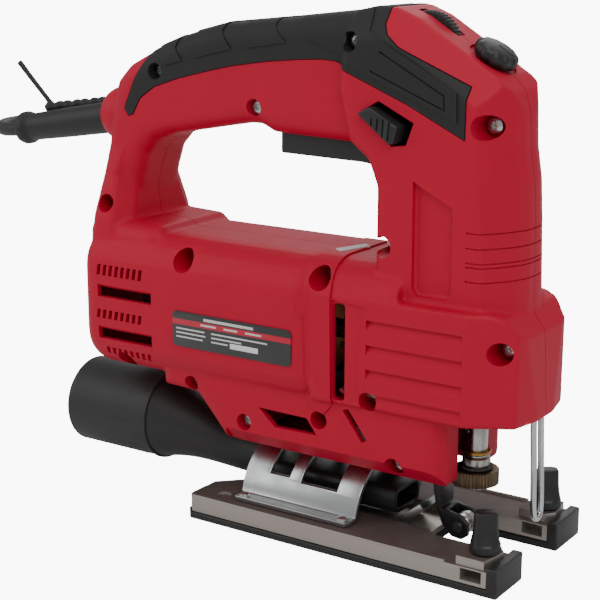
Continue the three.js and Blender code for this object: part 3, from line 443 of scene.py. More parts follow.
def footplate_material(name, cast, coating):
    """Cast plate: machined light sides under a rough, dark coated top."""
    made, tree, surface = start_material(name)
    top = place_group(tree, "upward_faces", Height=0.0088)
    patches = place_group(tree, "handled_patches", Scale=70.0, Sharpness=2.2)
    lines = place_group(tree, "brushed_streaks", Across_X=30.0, Across_Y=1800.0, Across_Z=1800.0)
    grain = place_group(tree, "moulded_grain", Scale=1700.0, Unevenness=1.2)
    side = mix_colour(tree, lines, shaded(cast, 0.85), shaded(cast, 1.12))
    rough = mix_colour(tree, patches, shaded(coating, 0.82), shaded(coating, 1.22))
    tree.links.new(mix_colour(tree, top, side, rough), surface.inputs["Base Color"])
    tree.links.new(mix_value(tree, top, 0.85, 0.35), surface.inputs["Metallic"])
    tree.links.new(mix_value(tree, top, 0.42, 0.62), surface.inputs["Roughness"])
    add_bump(tree, surface, grain, 0.5, 0.00012)
    return made


def label_material(name, shell):
    """Printed foil: a dark field, a stripe in the shell's colour and plain light bars, with no lettering."""
    made, tree, surface = start_material(name, Roughness=0.38, Coat_Weight=0.25)
    place = add_node(tree, "ShaderNodeSeparateXYZ", {0: object_coordinates(tree)})

    def band(x0, x1, z0, z1):
        mask = None
        for axis, low, high in (("X", x0, x1), ("Z", z0, z1)):
            middle, reach = (low + high) / 2 * MM, abs(high - low) / 2 * MM
            inside = add_node(tree, "ShaderNodeMath",
                              {0: place.outputs[axis], 1: middle, 2: reach}, operation="COMPARE")
            mask = inside.outputs[0] if mask is None else add_node(
                tree, "ShaderNodeMath", {0: mask, 1: inside.outputs[0]}, operation="MULTIPLY").outputs[0]
        return mask

    dust = place_group(tree, "handled_patches", Scale=120.0, Sharpness=1.5)
    colour = mix_colour(tree, dust, (0.022, 0.022, 0.022), (0.034, 0.034, 0.034))
    colour = mix_colour(tree, band(-84, -21, 84.1, 86.5), colour, shaded(shell, 1.05))
    pale = (0.62, 0.62, 0.6)
    bars = [(-66.5, -41, 87.1, 88.3), (-68, -60, 84.9, 85.7), (-56, -49, 84.9, 85.7), (-45, -37, 84.9, 85.7),
            (-81, -66, 82.0, 82.7), (-81, -65.5, 80.2, 80.9), (-81, -67, 78.4, 79.1),
            (-62.5, -34, 82.0, 82.7), (-62.5, -47, 80.2, 80.9), (-62.5, -54, 78.4, 79.1)]
    for bar in bars:
        colour = mix_colour(tree, band(*bar), colour, pale)
    colour = mix_colour(tree, band(-52.8, -38.6, 77.4, 79.7), colour, (0.8, 0.8, 0.78))
    tree.links.new(colour, surface.inputs["Base Color"])
    add_bump(tree, surface, place_group(tree, "moulded_grain", Scale=900.0), 0.1, 0.00002)
    return made


def floor_material(name, colour):
    """Pale floor that looks evenly lit to the camera without lighting the tool from below."""
    made, tree, surface = start_material(name, Roughness=0.7)
    patches = place_group(tree, "handled_patches", Scale=3.0, Sharpness=0.6)
    tree.links.new(mix_colour(tree, patches, shaded(colour, 0.98), colour), surface.inputs["Base Color"])
    sight = add_node(tree, "ShaderNodeLightPath")
    glow = add_node(tree, "ShaderNodeEmission", {"Color": (1, 1, 1, 1), "Strength": 9.0})
    both = add_node(tree, "ShaderNodeAddShader", {0: surface.outputs[0], 1: glow.outputs[0]})
    shown = add_node(tree, "ShaderNodeMixShader", {0: sight.outputs["Is Camera Ray"], 1: surface.outputs[0],
                                                   2: both.outputs[0]})
    tree.links.new(shown.outputs[0], tree.nodes["Material Output"].inputs["Surface"])
    return made


FINISHES = {}


class JigsawMakeFinishes(bpy.types.Operator):
    """Makes the shader groups and the materials of every finish"""

    bl_idname = "jigsaw.make_finishes"
    bl_label = "Finishes"

    def execute(self, context):
        for build in (grain_group, patches_group, edge_rub_highlight_group, streaks_group, upward_group):
            build()
        c = {name: list(getattr(colours(), name)) for name in colours().__annotations__}
        FINISHES.update({
            "shell": moulded_material(
                "shell_red", c["shell"], 0.5, depth=0.00005, wear=0.06, patch=0.04, specular=0.22),
            "grip": moulded_material("grip_rubber", c["grip"], 0.62, grain=1800.0, wear=0.1, patch=0.1, specular=0.35),
            "plastic": moulded_material("black_plastic", c["plastic"], 0.42, wear=0.2, patch=0.12),
            "tube": moulded_material("tube_plastic", c["grip"], 0.5, grain=1500.0, depth=0.00006, wear=0.05),
            "cord": moulded_material("cord_rubber", c["cord"], 0.5, wear=0.08, patch=0.12),
            "blackened": moulded_material("blackened_steel", c["plastic"], 0.35, wear=0.55, patch=0.2),
            "zinc": metal_material("zinc_plate", c["zinc"], 0.3, (55.0, 1500.0, 40.0), 0.16),
            "screw": metal_material("screw_zinc", c["zinc"], 0.25, (900.0, 900.0, 900.0), 0.2),
            "steel": metal_material("ground_steel", c["steel"], 0.25, (1800.0, 1800.0, 60.0), 0.25),
            "cast": metal_material("cast_metal", c["cast"], 0.45, (700.0, 700.0, 700.0), 0.15, 0.00008),
            "dark_steel": metal_material("lamination", shaded(c["steel"], 0.4), 0.4, (2500.0, 60.0, 60.0), 0.35),
            "bronze": metal_material("sintered_bronze", c["bronze"], 0.42, (1500.0, 1500.0, 300.0), 0.25),
            "brass": metal_material("brass_sheet", c["brass"], 0.3, (900.0, 900.0, 60.0), 0.15),
            "copper": metal_material("copper_winding", c["copper"], 0.35, (60.0, 2000.0, 2000.0), 0.3),
            "chrome": metal_material("polished_wire", c["zinc"], 0.12, (600.0, 600.0, 20.0), 0.06),
            "footplate": footplate_material("coated_cast_plate", c["cast"], c["coating"]),
            "label": label_material("printed_foil", c["shell"]),
            "paper": moulded_material("paper_seal", shaded(c["floor"], 0.75), 0.7, grain=900.0, wear=0.0, patch=0.12),
            "floor": floor_material("studio_floor", c["floor"]),
        })
        return {"FINISHED"}


class JigsawMakeStage(bpy.types.Operator):
    """Makes the camera, the pale floor and the soft lights"""

    bl_idname = "jigsaw.make_stage"
    bl_label = "Stage"

    def execute(self, context):
        clear_selection()
        bpy.ops.object.camera_add(
            location=(0.29995, -0.51137, 0.24764),
            rotation=[math.radians(a) for a in (90 - 14.12, -0.14, 33.67)])
        camera = name_active("camera")
        camera.data.lens = 89.2
        camera.data.sensor_width = 36
        context.scene.camera = camera
        clear_selection()
        bpy.ops.mesh.primitive_grid_add(x_subdivisions=8, y_subdivisions=8, size=60)
        floor = name_active("floor")
        floor.data.materials.append(FINISHES["floor"])
        lights = [
            ("key", (0.75, -0.9, 1.15), 1.0, 8.0),
            ("fill", (-1.1, -0.8, 0.8), 1.2, 5.0),
            ("top", (0.0, 0.2, 1.6), 1.5, 6.5),
            ("rear", (-0.6, 1.3, 1.0), 1.0, 4.0),
        ]
        for name, place, size, power in lights:
            aim = (Vector((0, 0, 0.08)) - Vector(place)).to_track_quat("-Z", "Y")
            clear_selection()
            bpy.ops.object.light_add(type="AREA", location=place, rotation=aim.to_euler())
            lamp = name_active(name)
            lamp.data.shape = "DISK"
            lamp.data.size = size
            lamp.data.energy = power
        world = context.scene.world or bpy.data.worlds.new("studio")
        context.scene.world = world
        world.use_nodes = True
        world.node_tree.nodes["Background"].inputs["Color"].default_value = (1, 1, 1, 1)
        world.node_tree.nodes["Background"].inputs["Strength"].default_value = 0.42
        return {"FINISHED"}


# ------------------------------------------------------------------ cord
BOOT_TILT = math.radians(9.5)
BOOT_DIRECTION = Vector((-math.cos(BOOT_TILT), 0, -math.sin(BOOT_TILT)))
BOOT_START = Vector((-130, 0, 166)) + BOOT_DIRECTION * 4
BOOT_LENGTH = 65
BOOT_END = BOOT_START + BOOT_DIRECTION * (BOOT_LENGTH + 0.3)
COIL_X, COIL_Y = -83, 101.5
LEAD_Y = 52
LEAD_POINTS = [
    tuple(BOOT_END), (-202.4, 0.1, 153.9), (-211.6, 2.4, 153), (-219.9, 8, 152.7), (-225.3, 16.3, 152.6),
    (-227.3, 26, 152.6), (-225.3, 35.8, 152.5), (-219.9, 44.2, 152.4), (-211.6, 50, 152.2), (-201.8, LEAD_Y, 151.9),
    (-191, LEAD_Y, 151.3), (-181.8, LEAD_Y, 150.4), (-172, LEAD_Y, 147.6), (-163.6, LEAD_Y, 141.8),
    (-158, LEAD_Y, 133.2), (-155.8, LEAD_Y, 123), (-155.6, LEAD_Y, 100), (-155.6, LEAD_Y, 75), (-155.6, LEAD_Y, 50),
    (-155.4, LEAD_Y, 29.4), (-153.4, LEAD_Y, 19.4), (-147.8, LEAD_Y, 11), (-139.4, LEAD_Y, 5.4),
    (-129.4, LEAD_Y, 3.45), (-119, LEAD_Y, 3.45), (-110, LEAD_Y, 3.45),
]


def curve_through(points, steps=5):
    """Points of a centripetal curve through the given points."""
    knots = [Vector(p) for p in points]
    knots = [2 * knots[0] - knots[1], *knots, 2 * knots[-1] - knots[-2]]
    line = []
    for a, b, c, d in zip(knots, knots[1:], knots[2:], knots[3:]):
        t1 = (b - a).length ** 0.5
        t2 = t1 + (c - b).length ** 0.5
        t3 = t2 + (d - c).length ** 0.5
        for step in range(steps):
            t = t1 + (t2 - t1) * step / steps
            ab = a.lerp(b, t / t1)
            bc = b.lerp(c, (t - t1) / (t2 - t1))
            cd = c.lerp(d, (t - t2) / (t3 - t2))
            line.append(ab.lerp(bc, t / t2).lerp(bc.lerp(cd, (t - t1) / (t3 - t1)), (t - t1) / (t2 - t1)))
    return [*line, knots[-2]]


def coil_points():
    """Two flat layers wound in and out again, then half a turn on top that works its way in."""
    diameter, low, layer, top = 6.5, 3.45, 6.5, 17.15
    outer, inner_end, out_end, climbed, end = 49.5, 3.25, 5.75, 6.0, 6.5
    tightest = outer - diameter * inner_end
    top_radius = 46.3
    points = []
    steps = 32
    for i in range(1, int(end * steps) + 1):
        turn = i / steps
        if turn <= inner_end:
            radius = outer - diameter * turn
        elif turn <= climbed:
            radius = tightest + diameter * (turn - inner_end)
        else:
            share = (turn - climbed) / (end - climbed)
            radius = 30 + (top_radius - 30) * (1 + math.cos(math.pi * share)) / 2
        first = min(max((turn - 3.0) / 0.25, 0), 1)
        second = min(max((turn - out_end) / 0.25, 0), 1)
        height = low + layer * first * first * (3 - 2 * first)
        height += (top - low - layer) * second * second * (3 - 2 * second)
        if turn > climbed:
            height += 4.5 * ((turn - climbed) / (end - climbed)) ** 3
        angle = -math.pi / 2 + 2 * math.pi * turn
        points.append(Vector((COIL_X + radius * math.cos(angle), COIL_Y + radius * math.sin(angle), height)))
    return points


class JigsawMakeCord(bpy.types.Operator):
    """Makes the mains cord, its ties and its plug"""

    bl_idname = "jigsaw.make_cord"
    bl_label = "Cord"

    def execute(self, context):
        line = curve_through([*LEAD_POINTS, (COIL_X, LEAD_Y, 3.45)]) + coil_points()
        shape = bpy.data.curves.new("mains_cord", "CURVE")
        shape.dimensions = "3D"
        shape.bevel_depth = sizes().cord_diameter / 2
        shape.bevel_resolution = 5
        shape.use_fill_caps = True
        spline = shape.splines.new("POLY")
        spline.points.add(len(line) - 1)
        for point, spot in zip(spline.points, line):
            point.co = (*(spot * MM), 1)
        spline.use_smooth = True
        cord = bpy.data.objects.new("mains_cord", shape)
        context.scene.collection.objects.link(cord)
        shape.materials.append(FINISHES["cord"])
        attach(cord, "housing")
        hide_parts("cord_lead", "cord_coil", "cord_tail")
        ties = self.make_ties()
        stub = self.make_stub()
        boot = self.make_boot()
        plug = self.make_plug(line[-1])
        return {"FINISHED"}

    def make_boot(self):
        profile = [(0, 0), (7.0, 0), (7.1, 0.4), (7.1, 9), (7.0, 18), (6.8, 36), (6.4, 52), (6.3, 55.5), (6.5, 57.4),
                   (7.2, 58.6), (7.6, 59.8), (7.6, 62), (7.0, 63.6), (6.0, 64.6), (4.6, 65), (3.4, 65), (3.3, 63),
                   (0, 63)]
        boot = turned("cord_boot_sleeve", profile, BOOT_START, BOOT_DIRECTION, 56)
        return finish_piece(boot, "housing", "cord_rubber", FINISHES["cord"], "cord_boot")

    def make_ties(self):
        """Two soft ties round the coil's section."""
        ties = []
        for name, angle in (("coil_tie_right", 15), ("coil_tie_left", 195)):
            a = math.radians(angle)
            out = Vector((math.cos(a), math.sin(a), 0))
            side = Vector((-math.sin(a), math.cos(a), 0))
            low, high, inner, outer = 0.05, 13.6, 24.6, 51.6
            loop = [(inner, low), (outer, low), (outer + 1.3, 3), (outer + 1.3, high - 3), (outer, high + 0.9),
                    (inner, high + 0.9), (inner - 1.3, high - 3), (inner - 1.3, 3)]
            rings = []
            for shift, grow in ((-2.4, 0), (-2.4, 0.5), (2.4, 0.5), (2.4, 0), (-2.4, 0)):
                ring = []
                for u, v in loop:
                    u2 = u + math.copysign(grow, u - (inner + outer) / 2)
                    v2 = v + (grow if v > (low + high) / 2 else 0)
                    ring.append(Vector((COIL_X, COIL_Y, v2)) + out * u2 + side * shift)
                rings.append(ring)
            tie = loft(name, rings)
            ties.append(finish_piece(tie, "housing", "cord_rubber", FINISHES["cord"]))
        return ties

    def make_stub(self):
        """Loose end of the twist tie that stands up beside the boot, with its twisted bundle behind."""
        base = Vector((-186, 9.2, 164.5))
        tip = Vector((-207.5, 9.5, 184.5))
        middle = base.lerp(tip, 0.5) + Vector((-0.8, 0, 0.6))
        rings = []
        sides = 16
        for spot, size in ((base, 0), (base, 1.15), (middle, 1.2), (tip, 1.35), (tip, 0)):
            rings.append(circle_ring(spot, tip - base, size, sides))
        pieces = [loft("tie_end", rings)]
        for i in range(9):
            centre = Vector((-188 + 5.4 * i, 9.5, 164.2 + 0.75 * i))
            knot = turned("tie_twist", [(0, -3.6), (1.5, -3.3), (2.5, -1.6), (2.8, 0), (2.5, 1.6), (1.5, 3.3), (0, 3.6)],
                          centre, (1, 0.1 if i % 2 else -0.1, 0.35 if i % 2 else -0.1), 16)
            pieces.append(knot)
        stub = fuse("twist_tie", *pieces)
        modify(stub, "REMESH", mode="VOXEL", voxel_size=0.0004)
        modify(stub, "SMOOTH", factor=0.5, iterations=2)
        return finish_piece(stub, "housing", "cord_rubber", FINISHES["cord"])

    def make_plug(self, cord_end):
        tilt = math.radians(12)
        direction = Vector((-math.cos(tilt), 0, math.sin(tilt)))
        start = Vector(cord_end) + direction * 3.25
        sleeve = [(0, 0), (3.9, 0)]
        for i in range(6):
            sleeve += [(4.4 + 0.25 * i, 0.6 + 2.6 * i), (4.4 + 0.25 * i, 2.2 + 2.6 * i), (3.7 + 0.25 * i, 2.5 + 2.6 * i)]
        body = [(6.2, 17), (7.6, 19), (9.4, 21), (12.0, 24), (13.1, 26), (13.5, 30), (13.5, 42.5), (13.0, 44.6),
                (11.6, 45.8), (0, 46)]
        plug = turned("mains_plug", sleeve + body, start, direction, 56)
        finish_piece(plug, "housing", "cord_rubber", FINISHES["cord"], "plug_body")
        pins = []
        for side in (-9.5, 9.5):
            foot = start + direction * 45.5 + Vector((0, side, 0))
            pins.append(turned("pin", [(0, 0), (2.4, 0), (2.4, 17.6), (2.0, 18.8), (1.2, 19.4), (0, 19.5)],
                               foot, direction, 32))
        pin_pair = fuse("plug_pins", *pins)
        finish_piece(pin_pair, "housing", "brass", FINISHES["brass"])
        pin_pair.parent = plug
        return plug


# ------------------------------------------------------------------ housing
HANDLE = [
    (-112, 106.5), (-114, 122), (-116.8, 130), (-114.8, 142), (-111.5, 152), (-105.5, 158.5), (-96, 161.6),
    (-84, 163.6), (-68, 166.6), (-56, 168.8), (-50, 168.6), (-44, 165.8), (14, 164), (14, 212), (-2, 216),
    (-40, 211.7), (-67, 209), (-87, 204), (-104, 197.5), (-119, 190), (-126, 183), (-131, 163), (-135, 126),
    (-136, 106.5),
]
COLUMN = [
    (10, 79), (10, 150), (6, 160), (-3, 167), (-8, 188), (-3, 215.8), (7, 218), (13, 218), (22, 214.5),
    (56, 193.5), (61, 188.5), (63.4, 180), (64, 167), (66.3, 154), (67.2, 138), (68, 104), (68, 79),
]
REAR_BLOCK = [(-136, 100), (-136, 119), (-131, 123.4), (-98, 122.2), (-93, 118), (-90, 112), (-86, 108), (-86, 100)]
SKIRT = [(-95.5, 70), (-95.5, 52.3), (-77, 51.6), (-62, 34.9), (-58, 33.4), (44, 33.4), (44, 70)]
CASE_PLAN = [(-14, 31), (54, 31), (72, 21), (75, 7), (75, -7), (72, -21), (54, -31), (-14, -31)]
CASE_SIDE = [(-14, 62), (75, 62), (73, 97), (67, 105), (61, 107), (-14, 107)]
GRIP_REGION = [
    (-119.6, 171.2), (-117, 168), (-114.4, 168.8), (-110.1, 176.1), (-102.4, 181.3), (-89.3, 185.6), (-74.8, 189.2),
    (-62.4, 192), (-45.2, 194.7), (-28.6, 196.4), (-18, 197), (-11.5, 196.6), (23.8, 182.7), (48.8, 170.8),
    (49, 190.6), (19.3, 204.1), (13.9, 208.1), (11.4, 212), (11, 226), (-104, 226), (-104, 200), (-108, 193.4),
    (-113.6, 184),
]
LOCK_OUTLINE = [(3.6, 178.4), (9, 181.2), (21.6, 174.4), (19.7, 167.8), (17.7, 167.6)]
LOCK_SLOT = [(2.8, 178.4), (11.5, 183.4), (27, 176), (23.8, 167.2), (17.5, 166.4)]
HANDLE_HALF, COLUMN_HALF, SKIRT_HALF, BARREL_HALF, CASE_HALF = 18.5, 24.5, 28, 33, 31
# Screws across the shell: x, z, how deep the head sits from the middle plane, and the recess radius.
SCREWS = {
    "handle_rear": (-102, 188, 12, 3.9), "handle_front": (-2, 205, 16, 4.3), "handle_middle": (-51, 176, 13, 4.0),
    "head": (55.5, 176, 11.5, 5.0), "rear_column": (-125.5, 130, 12, 4.2), "barrel_rear": (-79, 111, 16, 5.2),
    "barrel_front": (-11.5, 112, 16, 5.0), "nose": (66, 92, 14, 4.8), "foot_rear": (-50, 44.4, 22, 4.0),
    "foot_front": (22.4, 39, 19, 4.2),
}
SHALLOW_SCREWS = {
    "case": (12, 65, 20, 4.4), "skirt_front": (-12.5, 52.4, 18, 4.2), "skirt_rear": (-78, 56.5, 20, 3.8),
    "barrel_low": (-113.5, 61.4, 18, 4.4), "column_rear": (13.5, 127, 12, 4.6),
}


def inset_outline(outline, amount):
    """The outline moved inwards all round, corner by corner."""
    corners = [Vector(p) for p in outline]
    area = sum(a.x * b.y - b.x * a.y for a, b in zip(corners, corners[1:] + corners[:1]))
    turn = 1 if area > 0 else -1
    moved = []
    for i, corner in enumerate(corners):
        before = (corner - corners[i - 1]).normalized()
        after = (corners[(i + 1) % len(corners)] - corner).normalized()
        inward = [Vector((-d.y, d.x)) * turn for d in (before, after)]
        middle = (inward[0] + inward[1]).normalized()
        moved.append(corner + middle * amount / max(middle.dot(inward[0]), 0.35))
    return [tuple(p) for p in moved]


def pillow(name, outline, low, high, radius, along="Y", steps=5):
    """The outline between two distances along an axis, with both rims rounded."""
    across, up, out = AXES[along]
    rings = []
    for end, sign in ((low, 1), (high, -1)):
        stages = range(steps + 1) if sign > 0 else range(steps, -1, -1)
        for i in stages:
            angle = math.pi / 2 * i / steps
            corners = inset_outline(outline, radius * (1 - math.sin(angle)))
            depth = end + sign * radius * (1 - math.cos(angle))
            rings.append([across * u + up * v + out * depth for u, v in corners])
    return loft(name, rings)


def displaced(piece, amount):
    return modify(piece, "DISPLACE", strength=amount, mid_level=0)


def rebuild(piece, grid, passes):
    """Rebuilds a piece on a voxel grid and softens its edges."""
    modify(piece, "REMESH", mode="VOXEL", voxel_size=grid, use_smooth_shade=True)
    if passes:
        modify(piece, "SMOOTH", factor=0.5, iterations=passes)
    return piece


def head_column():
    """The column and the head: bowed at the front, with a long chamfer each side of the sloping top."""
    column = pillow("column", COLUMN, -COLUMN_HALF, COLUMN_HALF, 4)
    bow = [0, 5, 10, 15, 20, 24.5, 30]
    fronts = [(70, 69), (104, 68.6), (138, 67.4), (154, 66.5), (167, 64.4), (180, 63.9), (192, 63), (230, 62)]
    noses = []
    for z, nose_x in fronts:
        near = [(nose_x - y * y / 52, y, z) for y in bow]
        noses.append([(-30, -30, z)] + [(x, -y, z) for x, y, z in reversed(near)] + near[1:] + [(-30, 30, z)])
    combine(column, loft("nose_limit", noses), "INTERSECT")
    ridge = [(-30, 218.2), (8, 218.2), (13, 218.2), (22, 214.6), (56, 193.6), (80, 179)]
    tops = [[(x, -14, top), (x, -25.5, top - 13.5), (x, -25.5, 60), (x, 25.5, 60), (x, 25.5, top - 13.5), (x, 14, top)]
            for x, top in ridge]
    return combine(column, loft("roof_limit", tops), "INTERSECT")


def rear_flare():
    """The rear post of the handle, which widens all the way down to the barrel."""
    rings = []
    for z, half, front in ((108, 29, -112), (124, 27.5, -114), (142, 21.5, -116), (158, 17.5, -112), (172, 15, -112)):
        rear = -136 + (z - 108) * 0.085
        rings.append([(rear, -half + 5, z), (rear + 5, -half, z), (front - 7, -half, z), (front - 1, -half + 9, z),
                      (front - 1, half - 9, z), (front - 7, half, z), (rear + 5, half, z), (rear, half - 5, z)])
    return loft("rear_flare", rings)


def housing_form():
    """The closed outer form of both halves together."""
    ball = turned("gland", [(12.8 * math.sin(math.pi * i / 16), -12.8 * math.cos(math.pi * i / 16)) for i in range(17)],
                  (-132.5, 0, 166), BOOT_DIRECTION, 40)
    barrel = pillow("barrel", rounded(-BARREL_HALF, BARREL_HALF, 56.5, 119.5, 17), -136, -12, 9, along="X")
    hood = pillow("fan_hood", rounded(-CASE_HALF, CASE_HALF, 56.5, 119.5, 17), -30, 24, 1.5, along="X")
    case = pillow("case", CASE_PLAN, 62, 107, 1.5, along="Z")
    combine(case, plate("case_side", CASE_SIDE, -40, 40), "INTERSECT")
    form = fuse(
        "housing_form", barrel, hood, case, ball,
        pillow("handle", HANDLE, -HANDLE_HALF, HANDLE_HALF, 8),
        head_column(),
        rear_flare(),
        pillow("rear_block", REAR_BLOCK, -SKIRT_HALF, SKIRT_HALF, 8),
        pillow("skirt", SKIRT, -SKIRT_HALF, SKIRT_HALF, 7),
    )
    return rebuild(form, voxel(), sizes().softening)


def arch_band():
    """Raised rib that runs over the motor between the barrel and the gear case."""
    outline = [(-18.5, 122), (-17.6, 107.9), (-20.5, 98.9), (-16.6, 96.1), (-16.2, 65.5), (-19.1, 62.4), (-14.5, 56),
               (-9.5, 55.8), (-4.6, 62), (-4.6, 63.4), (-5.3, 106.5), (-7, 122)]
    return plate("arch_band", outline, -60, 60)


def side_prism(name, outline, depth, side, reach=12):
    """A cutter whose inner end is this far from the middle plane, on one side."""
    ends = sorted((side * depth, side * (depth + reach)))
    return plate(name, outline, *ends)


def slanted_slot(x, z0, z1, width, lean):
    return [(x, z0), (x + width, z0), (x + width + lean, z1), (x + lean, z1)]


def vent_outlines():
    """Rows of slanted cooling slots in the rear of the barrel."""
    slots = []
    for z0, z1, first, count in ((99.6, 104.4, -125.4, 8), (80.2, 84.2, -126, 8), (63.6, 67.0, -122.6, 8)):
        slots += [slanted_slot(first + 3.3 * i, z0, z1, 1.8, 0.7) for i in range(count)]
    return slots


def groove(z0, z1, side):
    """Long louvre groove along the side of the gear case: a steep step at the top, a floor sloping outwards."""
    section = [(33, z1), (29.4, z1 - 0.9), (29.4, z1 - 1.9), (31.3, z0), (33, z0)]
    return plate("groove", [(side * y, z) for y, z in section], 11.2, 53.4, along="X")


def recess_cutters(spots):
    """Tapered holes for the screws, on the side that their heads are on."""
    cutters = []
    for x, z, depth, radius in spots:
        hole = [(0, 0), (radius - 0.5, 0), (radius, 24), (0, 24)]
        cutters.append(turned("recess", hole, (x, -depth, z), (0, -1, 0), 40))
        cutters.append(rod("seat", (x, -depth + 5, z), (0, -1, 0), 1.9, 10, 20))
    return cutters


def screw_posts(form):
    """The posts inside the shell that the screws go through."""
    posts = []
    for x, z, depth, radius in (*SCREWS.values(), *SHALLOW_SCREWS.values()):
        posts.append(rod("post", (x, -32.5, z), (0, 1, 0), radius + 1.6, 64, 24))
    bundle = rebuild(fuse("posts", *posts), sizes().cavity_voxel, 0)
    return combine(bundle, displaced(copy_of(form, "post_limit"), -0.0006), "INTERSECT")


def column_lines(form):
    """Fine level grooves round the front of the column."""
    bars = [block("line", 50.4, 74, -30, 30, z, z + 0.6) for z in (117.8, 123.4, 125.0, 130.6, 136.4)]
    lines = fuse("column_lines", *bars)
    return combine(lines, displaced(copy_of(form, "line_floor"), -0.00045))


def panel_cutters(side):
    """Sunk panels and slots drawn into one side of the shell."""
    out = side * 40
    panel = [(27.2, 154), (44.5, 145.2), (44.8, 112), (43, 109.6), (30, 109.4), (27.5, 112)]
    ends = sorted((side * (COLUMN_HALF - 2.4), out))
    cutters = [
        side_prism("skirt_recess", [(-42.3, 52.4), (-18.3, 52.1), (-13.3, 45.6), (-34.1, 45.2)], 24.6, side),
        pillow("column_panel", panel, *ends, 1.6),
        side_prism("chin_slot", [(-1, 58.8), (1.6, 59.6), (10.6, 48.2), (8.2, 46.6)], 22, side),
        side_prism("fan_slot", rounded(-4.2, 1.2, 63.5, 103.5, 1.6), 25.5, side),
        side_prism("slot_field", [(-4.6, 104.8), (10.6, 103.6), (7.4, 84.2), (7.9, 69.2), (10, 60), (-4.6, 60)],
                   CASE_HALF - 0.8, side),
    ]
    # The lower edge is chamfered, so that the base can tilt to 45 degrees under it.
    cutters.append(plate("skirt_chamfer", [(side * 20.4, 32.8), (side * 28.8, 41.2), (side * 30, 32.4)], -60, 46,
                         along="X"))
    cutters += [groove(z, z + 5.2, side) for z in (64, 74, 84, 94)]
    cutters += [side_prism("vent", outline, 29.2, side, 8) for outline in vent_outlines()]
    for top in (95.3, 76.4):
        cutters += vent_window(top, side)
    return cutters


def vent_window(top, side):
    """A wide window with a floor that slopes in to an open slit."""
    section = [(34, top), (31.6, top), (28.2, top - 4.6), (28.2, top - 5.4), (34, top - 5.4)]
    return [plate("window", [(side * y, z) for y, z in section], -125, -95, along="X"),
            plate("slit", rounded(*sorted((side * 22, side * 33)), top - 5.4, top - 3.7, 0.3), -114, -95, along="X")]


def control_cutters():
    """Slots and wells for the controls, which cut the shell and the grips alike."""
    seat = Vector((46.8, 0, 198.6))
    knob_axis = Vector((math.sin(math.radians(31)), 0, math.cos(math.radians(31))))
    return [
        plate("trigger_slot", [(-44.8, 150), (-44.8, 166.5), (9.8, 166.5), (9.8, 145)], -9.6, 9.6),
        plate("dial_slot", arc(19.5, 202.5, 14.8, 0, 351, 39), -3.1, 3.1),
        rod("knob_well", seat + knob_axis * -0.4, knob_axis, 10.1, 12, 40),
        rod("knob_hole", seat - knob_axis * 10, knob_axis, 3.6, 14, 24),
        plate("lock_slot", LOCK_SLOT, -30, -12),
    ]


def lower_cutters():
    """Openings in the foot of the shell for the blade drive, the lever and the guard."""
    return [
        block("fork_slot", 27, 60, -13.5, 13.5, 30, 60),
        rod("plunger_hole", (45.5, 0, 55), (0, 0, 1), 6.2, 10, 32),
        rod("lever_hole", (6, 20, 46), (0, 1, 0), 4.4, 14, 28),
        rod("guard_hole_right", (71.4, -3.3, 58), (0, 0, 1), 1.8, 8, 16),
        rod("guard_hole_left", (71.4, 3.3, 58), (0, 0, 1), 1.8, 8, 16),
    ]


